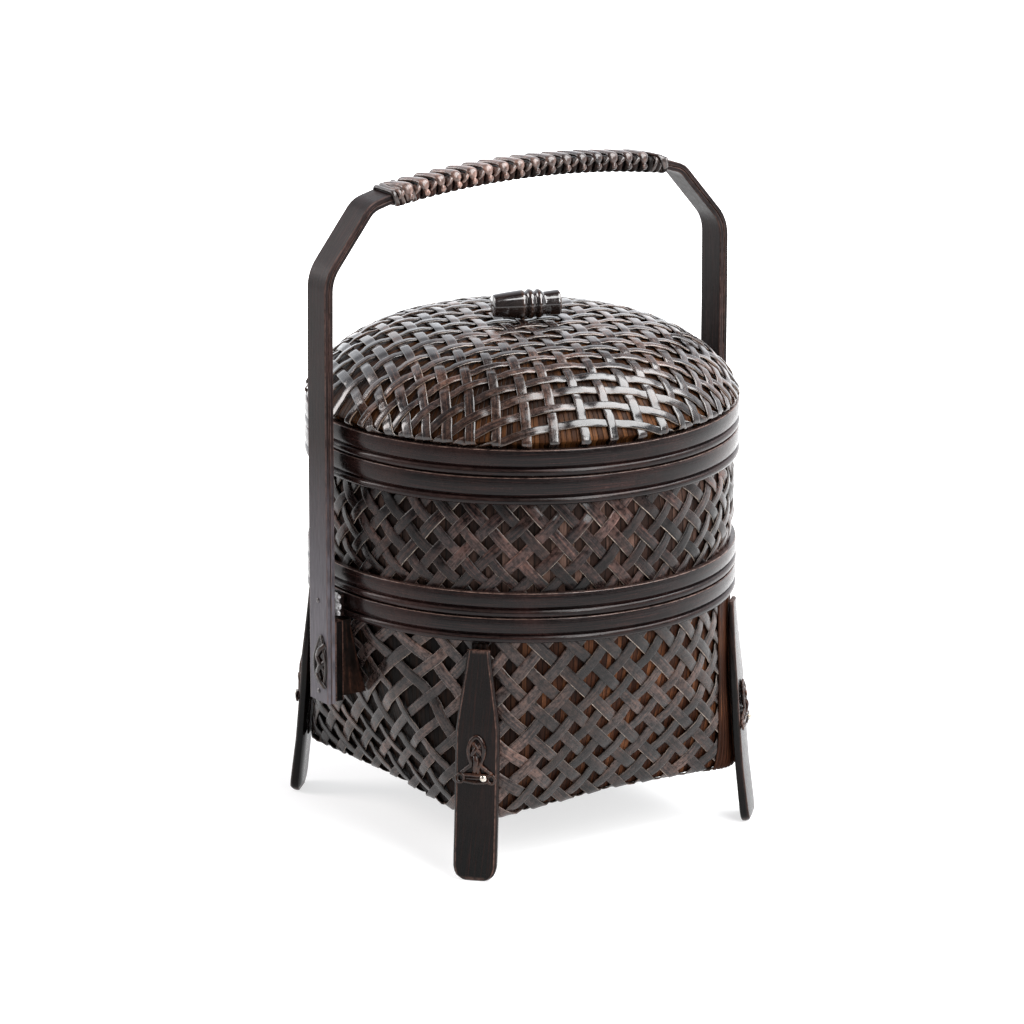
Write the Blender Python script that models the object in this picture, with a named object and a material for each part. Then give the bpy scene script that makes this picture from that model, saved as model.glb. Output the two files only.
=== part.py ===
"""Tiered food basket of lacquered bamboo.

A round-topped, square-bottomed base basket on four slat feet carries a bent
bamboo bow handle. A round tray stands on the base, and a domed lid with a
turned toggle knob closes the tray. The handle lies in the XZ plane, the feet
are on the diagonals, +Z is up, and the origin is on the floor under the middle.
"""

import math

import bmesh
import bpy
from mathutils import Matrix, Vector

MM = 0.001

# ---------------------------------------------------------------- dimensions, mm
HEIGHT = 220.0            # floor to the top of the grip wrap
SEGMENTS = 40             # facets round every hoop

WALL_R = 68.5             # outside of the woven wall where a hoop grips it
WEAVE_T = 1.6             # woven wall
LINER_T = 0.8             # inner lining
GAP = 0.3                 # clearance between neighbouring pieces
LINER_R = WALL_R - WEAVE_T - GAP
LIP_R = LINER_R - LINER_T - GAP   # outside of the upstanding lip hoops
LIP_T = 1.6
LIP_STAND = 4.0           # how far a lip stands into the piece above

BAND_IN = WALL_R + GAP
BAND_R = 70.9             # tray foot and base hoops
BAND_R_TOP = 71.4         # lid and tray rim hoops

BASE_BAND_Z = (77.8, 86.1)
TRAY_FOOT_Z = (86.4, 94.5)
TRAY_RIM_Z = (123.5, 132.6)
LID_BAND_Z = (132.9, 141.6)

LOFT_TOP = 75.0           # the base wall is round above this
LOFT_BOTTOM = 19.0        # and square here
BASE_HALF = 53.0          # half side of the square bottom
BASE_DIAGONAL = 72.0      # middle to the rounded corner
CORNER_DIP = 2.0          # the corners hang this far below the side middles

FOOT_T = 2.6
FOOT_T_TOP = 1.5
FOOT_T_TOE = 3.0
RIB_T = 0.9               # strip between a foot and the wall's corner
RIB_HALF = 2.6
FOOT_HALF = 7.1
FOOT_HALF_TOP = 3.6
FOOT_HALF_TOE = 3.9
FOOT_TOP = 75.4
FOOT_TAPER = 49.0
TOE = 4.6

STRIP_HALF = 5.4          # half width of the bow
STRIP_T = 1.45            # each of its two laminations
STRIP_GAP = 0.2
BOW_X = 79.0              # outer face of a leg
BOW_T = 2 * STRIP_T + STRIP_GAP
LEG_BOTTOM = 50.0
LEG_INNER = BOW_X - BOW_T
GRIP_HALF = 54.4
ARCH_MID = -4.0           # the bow was bent by hand: its top lies a little off the middle
WRAP_T = 1.0

KNOB_R = 4.9
KNOB_Z = 171.6
KNOB_TURN = -20.0         # the toggle lies askew on its tie
TIE_R = 0.8

NAIL_R = 0.55
DRILL_R = 0.85
LEG_NAIL_Z = (53.4, 84.0)
FOOT_NAIL_Z = 34.3
FOOT_NAIL_SIDE = 2.6


# ------------------------------------------------------------------- scaffolding
def clear_scene():
    for obj in list(bpy.data.objects):
        bpy.data.objects.remove(obj)


def material(name, colour, roughness, metallic=0.0):
    made = bpy.data.materials.new(name)
    made.use_nodes = True
    shader = made.node_tree.nodes["Principled BSDF"]
    shader.inputs["Base Color"].default_value = (*colour, 1.0)
    shader.inputs["Roughness"].default_value = roughness
    shader.inputs["Metallic"].default_value = metallic
    return made


def empty(name, z):
    made = bpy.data.objects.new(name, None)
    made.location = (0, 0, z * MM)
    bpy.context.scene.collection.objects.link(made)
    return made


def mesh_from(bm, name):
    bmesh.ops.recalc_face_normals(bm, faces=bm.faces[:])
    mesh = bpy.data.meshes.new(name)
    bm.to_mesh(mesh)
    bm.free()
    mesh.shade_smooth()
    mesh.set_sharp_from_angle(angle=math.radians(35))
    return mesh


def place(name, mesh, look, parent, z=0.0, turn=0.0):
    """One part: its mesh is modelled about its own foot, then set at height z and turned about Z.
    Heights are above the floor, whatever empty the part hangs on."""
    obj = bpy.data.objects.new(name, mesh)
    bpy.context.scene.collection.objects.link(obj)
    if not mesh.materials:
        mesh.materials.append(look)
    obj.parent = parent
    obj.location = (0, 0, z * MM - parent.location.z)
    obj.rotation_euler = (0, 0, math.radians(turn))
    return obj


# --------------------------------------------------------------------- the shapes
def turned(name, profile, steps=SEGMENTS, axis=(0, 0, 1), closed=True):
    """A profile of (radius, height) turned about its axis."""
    bm = bmesh.new()
    if axis[2]:
        verts = [bm.verts.new((r * MM, 0, h * MM)) for r, h in profile]
    else:
        verts = [bm.verts.new((h * MM, 0, r * MM)) for r, h in profile]
    ends = len(verts) if closed else len(verts) - 1
    edges = [bm.edges.new((verts[i], verts[(i + 1) % len(verts)])) for i in range(ends)]
    bmesh.ops.spin(bm, geom=verts + edges, cent=(0, 0, 0), axis=axis, dvec=(0, 0, 0),
                   angle=2 * math.pi, steps=steps, use_merge=True, use_duplicate=False)
    bmesh.ops.remove_doubles(bm, verts=bm.verts[:], dist=1e-6)
    bmesh.ops.dissolve_degenerate(bm, edges=bm.edges[:], dist=1e-7)
    return mesh_from(bm, name)


def hoop(name, inner, outer, height, foot_round=1.5, head_round=0.6):
    """A hoop of split bamboo: flat inside, its outer edges eased, the lower one more."""
    return turned(name, [
        (inner, 0), (outer - foot_round, 0), (outer - 0.3 * foot_round, 0.35 * foot_round),
        (outer, foot_round), (outer, height - head_round), (outer - head_round, height),
        (inner, height)])


def skin(name, sections, close_ends=True, twisted=False):
    """Faces between successive closed sections, each a list of points, mm. Twisted ones are split
    into triangles the same way on both sides of a wall, so that nested shells keep their gap."""
    bm = bmesh.new()
    rows = [[bm.verts.new(Vector(p) * MM) for p in section] for section in sections]
    n = len(rows[0])
    pairs = list(zip(rows, rows[1:])) if close_ends else list(zip(rows, rows[1:] + rows[:1]))
    for a, b in pairs:
        rising = sum(v.co.z for v in a) < sum(v.co.z for v in b)
        for i in range(n):
            j = (i + 1) % n
            if not twisted:
                bm.faces.new((a[i], a[j], b[j], b[i]))
            elif rising:
                bm.faces.new((a[i], a[j], b[j]))
                bm.faces.new((a[i], b[j], b[i]))
            else:
                bm.faces.new((a[i], a[j], b[i]))
                bm.faces.new((a[j], b[j], b[i]))
    if close_ends:
        bm.faces.new(rows[0][::-1])
        bm.faces.new(rows[-1])
    return mesh_from(bm, name)


def slab(name, outline, near, far):
    """An outline of (side, height) given thickness along X, between near(height) and far(height)."""
    bm = bmesh.new()
    face = bm.faces.new([bm.verts.new((near(h) * MM, s * MM, h * MM)) for s, h in outline])
    bmesh.ops.extrude_face_region(bm, geom=[face])
    bm.verts.ensure_lookup_table()
    for vert, (s, h) in zip(bm.verts[len(outline):], outline):
        vert.co = (far(h) * MM, s * MM, h * MM)
    bmesh.ops.recalc_face_normals(bm, faces=bm.faces[:])
    return mesh_from(bm, name)


def drill(name, parent, z, along, length, side=0.0, turn=0.0):
    """A cylinder that cuts a nail's hole: it lies along X at height z, from along to along + length."""
    bm = bmesh.new()
    bmesh.ops.create_cone(bm, cap_ends=True, segments=12, radius1=DRILL_R * MM,
                          radius2=DRILL_R * MM, depth=length * MM)
    bmesh.ops.rotate(bm, verts=bm.verts[:], matrix=Matrix.Rotation(math.pi / 2, 3, "Y"))
    bmesh.ops.translate(bm, verts=bm.verts[:],
                        vec=((along + length / 2) * MM, side * MM, z * MM))
    obj = place(name, mesh_from(bm, name), lacquer, parent, 0.0, turn)
    obj.hide_render = True
    obj.display_type = "WIRE"
    return obj


def cut(obj, cutter):
    mod = obj.modifiers.new("hole", "BOOLEAN")
    mod.operation = "DIFFERENCE"
    mod.solver = "EXACT"
    mod.object = cutter


def nail(name, shank):
    """A round-headed nail lying along X: the head's underside at 0, the shank running inwards."""
    return turned(name, [(0, 0.75), (0.6, 0.66), (1.05, 0.35), (1.15, 0.0), (NAIL_R, 0.0),
                         (NAIL_R, -shank + 0.8), (0, -shank)], steps=12, axis=(1, 0, 0),
                  closed=False)


# ----------------------------------------------------------------- the base's form
def loft_share(z):
    return min(1.0, max(0.0, (LOFT_TOP - z) / (LOFT_TOP - LOFT_BOTTOM)))


def half_side(z):
    return WALL_R + (BASE_HALF - WALL_R) * loft_share(z) ** 1.15


def diagonal(z):
    return WALL_R + (BASE_DIAGONAL - WALL_R) * loft_share(z) ** 1.45


def square_radius(angle, half, corner):
    """Distance from the middle to a square with rounded corners, in that direction."""
    a = abs((angle + math.pi / 4) % (math.pi / 2) - math.pi / 4)
    flat = half - corner
    if half * math.tan(a) <= flat:
        return half / math.cos(a)
    total = math.cos(a) + math.sin(a)
    off = math.cos(a) - math.sin(a)
    return flat * total + math.sqrt(max(0.0, corner ** 2 - (flat * off) ** 2))


def base_section(z, inset, dip=0.0, shrink=1.0):
    half = half_side(z)
    corner = (half * math.sqrt(2) - diagonal(z)) / (math.sqrt(2) - 1)
    half, corner = half - inset, max(0.6, corner - inset)
    points = []
    for i in range(SEGMENTS):
        a = 2 * math.pi * i / SEGMENTS
        r = square_radius(a, half, corner) * shrink
        x, y = r * math.cos(a), r * math.sin(a)
        points.append((x, y, z - dip * abs(x * y) / BASE_HALF ** 2))
    return points


def base_shell(name, inset, thickness, rim):
    """The base's wall and floor as one shell: up the outside, over the rim, down the inside."""
    levels = [LOFT_BOTTOM + 2.6, 36.0, 56.0, LOFT_TOP, rim]
    out = [base_section(LOFT_BOTTOM + 0.7 + inset, inset, CORNER_DIP, k) for k in (0.35, 0.75)]
    out.append(base_section(LOFT_BOTTOM + 0.7 + inset, inset + 1.2, CORNER_DIP))
    out += [base_section(z + (inset if z < 25 else 0), inset, CORNER_DIP if z < 25 else 0)
            for z in levels]
    depth = inset + thickness
    out += [base_section(z + (depth if z < 25 else 0), depth, CORNER_DIP if z < 25 else 0)
            for z in reversed(levels)]
    out.append(base_section(LOFT_BOTTOM + 0.7 + depth, depth + 1.2, CORNER_DIP))
    out += [base_section(LOFT_BOTTOM + 0.7 + depth, depth, CORNER_DIP, k) for k in (0.75, 0.35)]
    return skin(name, out, twisted=True)


# --------------------------------------------------------------------- the lid's form
def dome_profile(inset):
    """The dome's outline from the lid hoop up to the tie hole, (radius, height)."""
    shape = [(68.5, 133.2), (68.5, 142.0), (70.9, 143.1), (70.2, 146.2), (65.2, 152.0),
             (57.5, 158.0), (44.5, 163.3), (27.0, 165.8), (2.0, 166.3)]
    points = []
    for i, (r, z) in enumerate(shape):
        before, after = shape[max(0, i - 1)], shape[min(len(shape) - 1, i + 1)]
        dr, dz = after[0] - before[0], after[1] - before[1]
        size = math.hypot(dr, dz)
        nr, nz = dz / size, -dr / size
        if i == len(shape) - 1:
            nr, nz = 0.0, 1.0
        if i <= 1:
            nr, nz = 1.0, 0.0
        points.append((r - nr * inset, z - nz * inset))
    return points


def dome_shell(name, inset, thickness):
    outer = dome_profile(inset)
    inner = dome_profile(inset + thickness)
    base = outer[0][1]
    return turned(name, [(r, z - base) for r, z in outer + inner[::-1]])


# ------------------------------------------------------------------- the bow's form
def fillet(before, at, after, radius, steps):
    """Points of the arc that rounds a corner."""
    u, v = (before - at).normalized(), (after - at).normalized()
    half = u.angle(v) / 2
    reach = radius / math.tan(half)
    centre = at + (u + v).normalized() * (radius / math.sin(half))
    start, end = at + u * reach - centre, at + v * reach - centre
    turn = start.angle(end)
    points = []
    for i in range(steps + 1):
        t = i / steps
        points.append(centre + (start * math.sin((1 - t) * turn) + end * math.sin(t * turn))
                      / math.sin(turn))
    return points


def arch(x):
    """Height of the bow's upper face over the grip."""
    return HEIGHT - WRAP_T - 4.3 * ((x - ARCH_MID) / 54.0) ** 2


def bow_line():
    """The bow's outer contour in the XZ plane, from the +X leg's end to the -X leg's end."""
    sides = []
    for sign, shoulder in ((1, Vector((60.9, 212.0))), (-1, Vector((61.9, 213.3)))):
        foot, knee = Vector((BOW_X, LEG_BOTTOM)), Vector((78.8, 191.4))
        grip = Vector((GRIP_HALF, arch(sign * GRIP_HALF)))
        side = [foot, Vector((BOW_X, 120.0))]
        side += fillet(foot, knee, shoulder, 15.0, 5)
        side += fillet(knee, shoulder, grip, 9.0, 4)
        side += [Vector((x, arch(sign * x))) for x in (GRIP_HALF, 45.0, 31.5, 16.0)]
        sides.append([Vector((sign * p.x, p.y)) for p in side])
    return sides[0] + [Vector((ARCH_MID, arch(ARCH_MID)))] + sides[1][::-1]


def offset_line(line, depth):
    """The same contour moved inwards by depth."""
    points = []
    for i, p in enumerate(line):
        a = (p - line[i - 1]).normalized() if i else None
        b = (line[i + 1] - p).normalized() if i < len(line) - 1 else None
        a, b = a or b, b or a
        mean = (a + b).normalized()
        normal = Vector((-mean.y, mean.x))
        points.append(p + normal * depth / max(0.5, mean.dot(a)))
    return points


def strip(name, depth, thickness):
    """One lamination of the bow."""
    line = bow_line()
    outer, inner = offset_line(line, depth), offset_line(line, depth + thickness)
    return skin(name, [[(o.x, -STRIP_HALF, o.y), (o.x, STRIP_HALF, o.y),
                        (i.x, STRIP_HALF, i.y), (i.x, -STRIP_HALF, i.y)]
                       for o, i in zip(outer, inner)])


def grip_wrap(name):
    """The woven sleeve round the top of the bow, open at both ends."""
    sections = []
    stations = [-GRIP_HALF, -45.0, -31.5, -16.0, ARCH_MID, 16.0, 31.5, 45.0, GRIP_HALF]
    for deep, wide, ease in ((WRAP_T, 1.0, 0.9), (0.35, 0.3, 0.3)):
        ring = []
        for x in (stations if deep == WRAP_T else reversed(stations)):
            top, low = arch(x) + deep, arch(x) - BOW_T - deep
            y = STRIP_HALF + wide
            ring.append([(x, -y, low + ease), (x, -y, top - ease), (x, -y + ease, top),
                         (x, y - ease, top), (x, y, top - ease), (x, y, low + ease),
                         (x, y - ease, low), (x, -y + ease, low)])
        sections += ring
    return skin(name, sections, close_ends=False)


# ----------------------------------------------------------------- feet and lashings
def rib_inner(z):
    return diagonal(z) + 0.35


def foot_inner(z):
    below = max(0.0, LOFT_BOTTOM - z) / LOFT_BOTTOM
    return rib_inner(z) + RIB_T + 0.2 + 2.1 * below


def foot_outer(z):
    share = min(1.0, max(0.0, (z - FOOT_TAPER) / (FOOT_TOP - FOOT_TAPER)))
    below = max(0.0, LOFT_BOTTOM - z) / LOFT_BOTTOM
    return (foot_inner(z) + FOOT_T + (FOOT_T_TOP - FOOT_T) * share
            + (FOOT_T_TOE - FOOT_T) * below - (0.8 if z <= 0 else 0))


def foot_mesh():
    """A slat: pointed top, parallel middle, cut-off toe; it leans out along its length."""
    right = [(FOOT_HALF_TOE, 0.0), (6.0, 1.6), (FOOT_HALF, TOE), (FOOT_HALF, 12.0), (FOOT_HALF, LOFT_BOTTOM),
             (FOOT_HALF, 34.0), (FOOT_HALF, FOOT_TAPER), (5.4, 62.5), (FOOT_HALF_TOP, FOOT_TOP)]
    sections = []
    for side, z in right:
        sections.append([(foot_inner(z), -side, z), (foot_outer(z), -side, z),
                         (foot_outer(z), side, z), (foot_inner(z), side, z)])
    return skin("foot", sections)


def rib_mesh():
    """A thin strip down the wall's corner, behind the foot."""
    sections = []
    for z in (19.6, 30.0, 42.0, 54.0, 65.0, 77.2):
        near, far = rib_inner(z), rib_inner(z) + RIB_T
        sections.append([(near, -RIB_HALF, z), (far, -RIB_HALF, z), (far, RIB_HALF, z),
                         (near, RIB_HALF, z)])
    return skin("corner_rib", sections)


def foot_knot_mesh():
    """A rattan lashing on a foot: a narrow loop above, a cross turn below."""
    half = [(0.0, 47.8), (1.9, 46.4), (3.0, 43.4), (2.6, 40.2), (1.7, 38.4), (3.4, 36.9),
            (5.9, 36.2), (6.5, 34.4), (5.9, 32.4), (3.6, 31.8), (0.0, 31.6)]
    outline = half + [(-s, h) for s, h in reversed(half[1:-1])]
    return slab("foot_knot", outline, lambda h: foot_outer(h) + 0.15,
                lambda h: foot_outer(h) + 1.9)


def leg_knot_mesh():
    """A rattan lashing on a handle leg: one pointed oval."""
    half = [(0.0, 72.4), (1.6, 69.8), (3.1, 66.4), (3.9, 62.8), (3.7, 59.8), (2.2, 57.4),
            (0.0, 56.2)]
    outline = half + [(-s, h) for s, h in reversed(half[1:-1])]
    return slab("leg_knot", outline, lambda h: BOW_X + 0.15, lambda h: BOW_X + 1.7)


# ======================================================================= build
clear_scene()

lacquer = material("dark_lacquered_bamboo", (0.055, 0.040, 0.036), 0.32)
weave = material("woven_bamboo", (0.085, 0.060, 0.050), 0.38)
lining = material("brown_lining", (0.17, 0.070, 0.030), 0.55)
rattan = material("rattan_binding", (0.16, 0.085, 0.060), 0.35)
turned_wood = material("black_turned_wood", (0.018, 0.013, 0.012), 0.16)
metal = material("brass_nail", (0.60, 0.50, 0.33), 0.35, 1.0)
packing = material("pale_packing", (0.55, 0.52, 0.48), 0.30)

base = empty("base_body", 0.0)
tray = empty("tray_body", TRAY_FOOT_Z[0])
lid = empty("lid_body", LID_BAND_Z[0])
knob_body = empty("knob_body", KNOB_Z)

# base basket
place("base_weave", base_shell("base_weave", 0.0, WEAVE_T, 86.0), weave, base)
place("base_liner", base_shell("base_liner", WEAVE_T + GAP, LINER_T, 86.0), lining, base)
place("base_rim_band", hoop("base_rim_band", BAND_IN, BAND_R,
                            BASE_BAND_Z[1] - BASE_BAND_Z[0]), lacquer, base, BASE_BAND_Z[0])
lip_foot = LOFT_TOP + 1.0
place("base_lip_hoop", turned("base_lip_hoop", [
    (LIP_R - LIP_T, 0), (LIP_R, 0), (LIP_R, BASE_BAND_Z[1] + LIP_STAND - lip_foot - 0.6),
    (LIP_R - 0.5, BASE_BAND_Z[1] + LIP_STAND - lip_foot),
    (LIP_R - LIP_T, BASE_BAND_Z[1] + LIP_STAND - lip_foot)]), lacquer, base, lip_foot)

# feet, one on each corner, each with its lashing and nail
rib = rib_mesh()
foot = foot_mesh()
foot_knot = foot_knot_mesh()
foot_nail = nail("foot_nail", 2.9)
corners = {"front_right": -45, "back_right": 45, "back_left": 135, "front_left": 225}
for where, turn in corners.items():
    place(f"corner_rib_{where}", rib, lining, base, turn=turn)
    slat = place(f"foot_{where}", foot, lacquer, base, turn=turn)
    hole = drill(f"foot_drill_{where}", base, FOOT_NAIL_Z, 65.0, 20.0, FOOT_NAIL_SIDE, turn)
    cut(slat, hole)
    lashing = place(f"foot_knot_{where}", foot_knot, rattan, base, turn=turn)
    cut(lashing, hole)
    pin = place(f"foot_nail_{where}", foot_nail, metal, base, FOOT_NAIL_Z, turn)
    out = foot_outer(FOOT_NAIL_Z) + 2.0
    a = math.radians(turn)
    pin.location.x = (out * math.cos(a) - FOOT_NAIL_SIDE * math.sin(a)) * MM
    pin.location.y = (out * math.sin(a) + FOOT_NAIL_SIDE * math.cos(a)) * MM

# bow handle of two laminations, with its wrapped grip
outer_strip = place("handle_outer_strip", strip("handle_outer_strip", 0.0, STRIP_T), lacquer, base)
inner_strip = place("handle_inner_strip",
                    strip("handle_inner_strip", STRIP_T + STRIP_GAP, STRIP_T), lacquer, base)
place("handle_grip_wrap", grip_wrap("handle_grip_wrap"), rattan, base)

# what joins each leg to the basket: packing at the hoop, a backing slat and a wedge below it
spacer = slab("leg_spacer", [(-4.6, 78.2), (4.6, 78.2), (4.6, 85.9), (-4.6, 85.9)],
              lambda h: BAND_R + 0.3, lambda h: LEG_INNER - 0.15)
backing = slab("leg_backing", [(-4.9, 50.4), (4.9, 50.4), (4.9, 77.2), (-4.9, 77.2)],
               lambda h: LEG_INNER - 3.45, lambda h: LEG_INNER - 0.15)
wedge = slab("leg_wedge", [(-4.3, 51.0), (4.3, 51.0), (4.3, 64.0), (4.3, 77.0), (-4.3, 77.0),
                           (-4.3, 64.0)],
             lambda h: half_side(h) + 0.45, lambda h: LEG_INNER - 3.65)
leg_knot = leg_knot_mesh()
leg_nail_low = nail("leg_nail_low", 6.4)
leg_nail_high = nail("leg_nail_high", 7.2)
low_hole = drill("leg_drill_low", base, LEG_NAIL_Z[0], -85.0, 170.0)
high_hole = drill("leg_drill_high", base, LEG_NAIL_Z[1], -85.0, 170.0)
for one in (outer_strip, inner_strip):
    cut(one, low_hole)
    cut(one, high_hole)
for where, turn in {"right": 0, "left": 180}.items():
    block = place(f"leg_spacer_{where}", spacer, packing, base, turn=turn)
    cut(block, high_hole)
    slat = place(f"leg_backing_{where}", backing, lacquer, base, turn=turn)
    cut(slat, low_hole)
    place(f"leg_wedge_{where}", wedge, lacquer, base, turn=turn)
    place(f"leg_knot_{where}", leg_knot, rattan, base, turn=turn)
    for label, pin_mesh, z in (("low", leg_nail_low, LEG_NAIL_Z[0]),
                               ("high", leg_nail_high, LEG_NAIL_Z[1])):
        pin = place(f"leg_nail_{label}_{where}", pin_mesh, metal, base, z, turn)
        pin.location.x = math.cos(math.radians(turn)) * (BOW_X + 0.1) * MM

# tray
tray_z = TRAY_FOOT_Z[0]
wall = [(WALL_R, 0.1), (WALL_R, 8.4), (69.9, 16.0), (69.9, 29.5), (WALL_R, 37.0),
        (WALL_R, 46.1)]
place("tray_weave", turned("tray_weave", wall + [(r - WEAVE_T, z) for r, z in reversed(wall)]),
      weave, tray, tray_z)
inset = WEAVE_T + GAP
place("tray_liner", turned("tray_liner", [(r - inset, z) for r, z in wall]
                           + [(r - inset - LINER_T, z) for r, z in reversed(wall)]),
      lining, tray, tray_z)
place("tray_foot_band", hoop("tray_foot_band", BAND_IN, BAND_R,
                             TRAY_FOOT_Z[1] - TRAY_FOOT_Z[0]), lacquer, tray, tray_z)
place("tray_rim_band", hoop("tray_rim_band", BAND_IN, BAND_R_TOP,
                            TRAY_RIM_Z[1] - TRAY_RIM_Z[0]), lacquer, tray, TRAY_RIM_Z[0])
floor_z = BASE_BAND_Z[1] + LIP_STAND + 0.7
place("tray_floor", turned("tray_floor", [(0, 0), (LIP_R, 0), (LIP_R, WEAVE_T), (0, WEAVE_T)],
                           closed=False), weave, tray, floor_z)
place("tray_floor_hoop", turned("tray_floor_hoop", [
    (LIP_R - LIP_T, 0), (LIP_R, 0), (LIP_R, 4.0), (LIP_R - LIP_T, 4.0)]), lacquer, tray,
      floor_z + WEAVE_T + GAP)
lip_foot = 120.0
place("tray_lip_hoop", turned("tray_lip_hoop", [
    (LIP_R - LIP_T, 0), (LIP_R, 0), (LIP_R, TRAY_RIM_Z[1] + LIP_STAND - lip_foot - 0.6),
    (LIP_R - 0.5, TRAY_RIM_Z[1] + LIP_STAND - lip_foot),
    (LIP_R - LIP_T, TRAY_RIM_Z[1] + LIP_STAND - lip_foot)]), lacquer, tray, lip_foot)

# lid
place("lid_weave", dome_shell("lid_weave", 0.0, WEAVE_T), weave, lid, 133.2)
place("lid_liner", dome_shell("lid_liner", WEAVE_T + GAP, LINER_T), lining, lid, 133.2)
place("lid_band", hoop("lid_band", BAND_IN, BAND_R_TOP, LID_BAND_Z[1] - LID_BAND_Z[0]),
      lacquer, lid, LID_BAND_Z[0])
hoop_z = TRAY_RIM_Z[1] + LIP_STAND + 0.6
place("lid_inner_hoop", turned("lid_inner_hoop", [
    (LIP_R - LIP_T, 0), (LIP_R, 0), (LIP_R, 3.6), (LIP_R - LIP_T, 3.6)]), lacquer, lid, hoop_z)

# knob, its tie through the dome, and the washer that the tie is knotted under
outline = [(0, -10.1), (3.3, -10.0), (3.75, -9.3), (4.3, -5.0), (4.75, -0.6), (4.55, 0.3),
           (4.15, 0.8), (4.8, 1.6), (KNOB_R, 2.2), (4.6, 3.0), (4.15, 3.7), (4.7, 4.6), (4.75, 5.3),
           (4.4, 6.1), (3.9, 6.8), (4.05, 9.5), (4.2, 11.6), (3.7, 12.4), (0, 12.5)]
knob = place("knob", turned("knob", outline, steps=20, axis=(1, 0, 0), closed=False),
             turned_wood, knob_body, KNOB_Z, KNOB_TURN)
bm = bmesh.new()
bmesh.ops.create_cone(bm, cap_ends=True, segments=12, radius1=1.15 * MM, radius2=1.15 * MM,
                      depth=9.0 * MM)
bore = place("knob_drill", mesh_from(bm, "knob_drill"), turned_wood, knob_body, KNOB_Z - 3.0)
bore.hide_render = True
bore.display_type = "WIRE"
cut(knob, bore)
tie_low = 157.6
place("knob_tie", turned("knob_tie", [
    (0, 172.6 - tie_low), (TIE_R, 172.2 - tie_low), (TIE_R, 160.6 - tie_low),
    (1.7, 160.0 - tie_low), (2.0, 159.0 - tie_low), (1.4, 157.9 - tie_low), (0, 0)],
    steps=12, closed=False), rattan, knob_body, tie_low)
place("knob_washer", turned("knob_washer", [
    (1.2, 0), (4.0, 0), (4.4, 0.5), (4.4, 1.3), (4.0, 1.8), (1.2, 1.8)], steps=20),
    lacquer, knob_body, 161.2)
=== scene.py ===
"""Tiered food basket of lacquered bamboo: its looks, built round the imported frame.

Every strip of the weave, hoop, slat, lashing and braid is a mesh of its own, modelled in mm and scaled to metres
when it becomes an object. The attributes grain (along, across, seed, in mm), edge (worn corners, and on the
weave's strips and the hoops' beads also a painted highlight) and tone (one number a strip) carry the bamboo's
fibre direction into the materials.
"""

import math

import bpy
import numpy as np
from mathutils import Matrix, Vector


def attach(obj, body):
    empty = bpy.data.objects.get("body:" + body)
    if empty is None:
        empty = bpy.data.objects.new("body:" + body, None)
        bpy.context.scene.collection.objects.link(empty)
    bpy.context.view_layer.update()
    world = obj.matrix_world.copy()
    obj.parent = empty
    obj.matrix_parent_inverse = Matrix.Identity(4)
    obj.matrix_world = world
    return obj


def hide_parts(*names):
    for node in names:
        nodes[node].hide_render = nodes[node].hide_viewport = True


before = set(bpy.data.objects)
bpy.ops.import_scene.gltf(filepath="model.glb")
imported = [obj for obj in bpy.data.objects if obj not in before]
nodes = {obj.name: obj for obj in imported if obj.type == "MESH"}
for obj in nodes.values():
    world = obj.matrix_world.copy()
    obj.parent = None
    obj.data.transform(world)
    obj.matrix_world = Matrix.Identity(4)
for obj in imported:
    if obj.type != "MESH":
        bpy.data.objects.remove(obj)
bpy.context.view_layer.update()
MM = 0.001
PI = math.pi
rng = np.random.default_rng(41)


# ------------------------------------------------------------------ camera first
AZ, EL, ROLL = math.radians(-33.958), math.radians(15.813), math.radians(0.17)
back = Vector((math.sin(AZ) * math.cos(EL), -math.cos(AZ) * math.cos(EL), math.sin(EL)))
level = Vector((math.cos(AZ), math.sin(AZ), 0.0))
upright = back.cross(level)
right = level * math.cos(ROLL) + upright * math.sin(ROLL)
upright = back.cross(right)
camera_data = bpy.data.cameras.new("camera")
camera_data.sensor_fit = "HORIZONTAL"
camera_data.sensor_width = 36.0
camera_data.lens = 170.78
camera_data.shift_x = -9.95 / 1024
camera_data.shift_y = -26.11 / 1024
camera_data.clip_start, camera_data.clip_end = 0.05, 50.0
camera = bpy.data.objects.new("camera", camera_data)
bpy.context.scene.collection.objects.link(camera)
place = Matrix((right, upright, back)).transposed().to_4x4()
place.translation = Vector((0, 0, 0.110)) + back * 1.6
camera.matrix_world = place
bpy.context.scene.camera = camera


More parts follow.
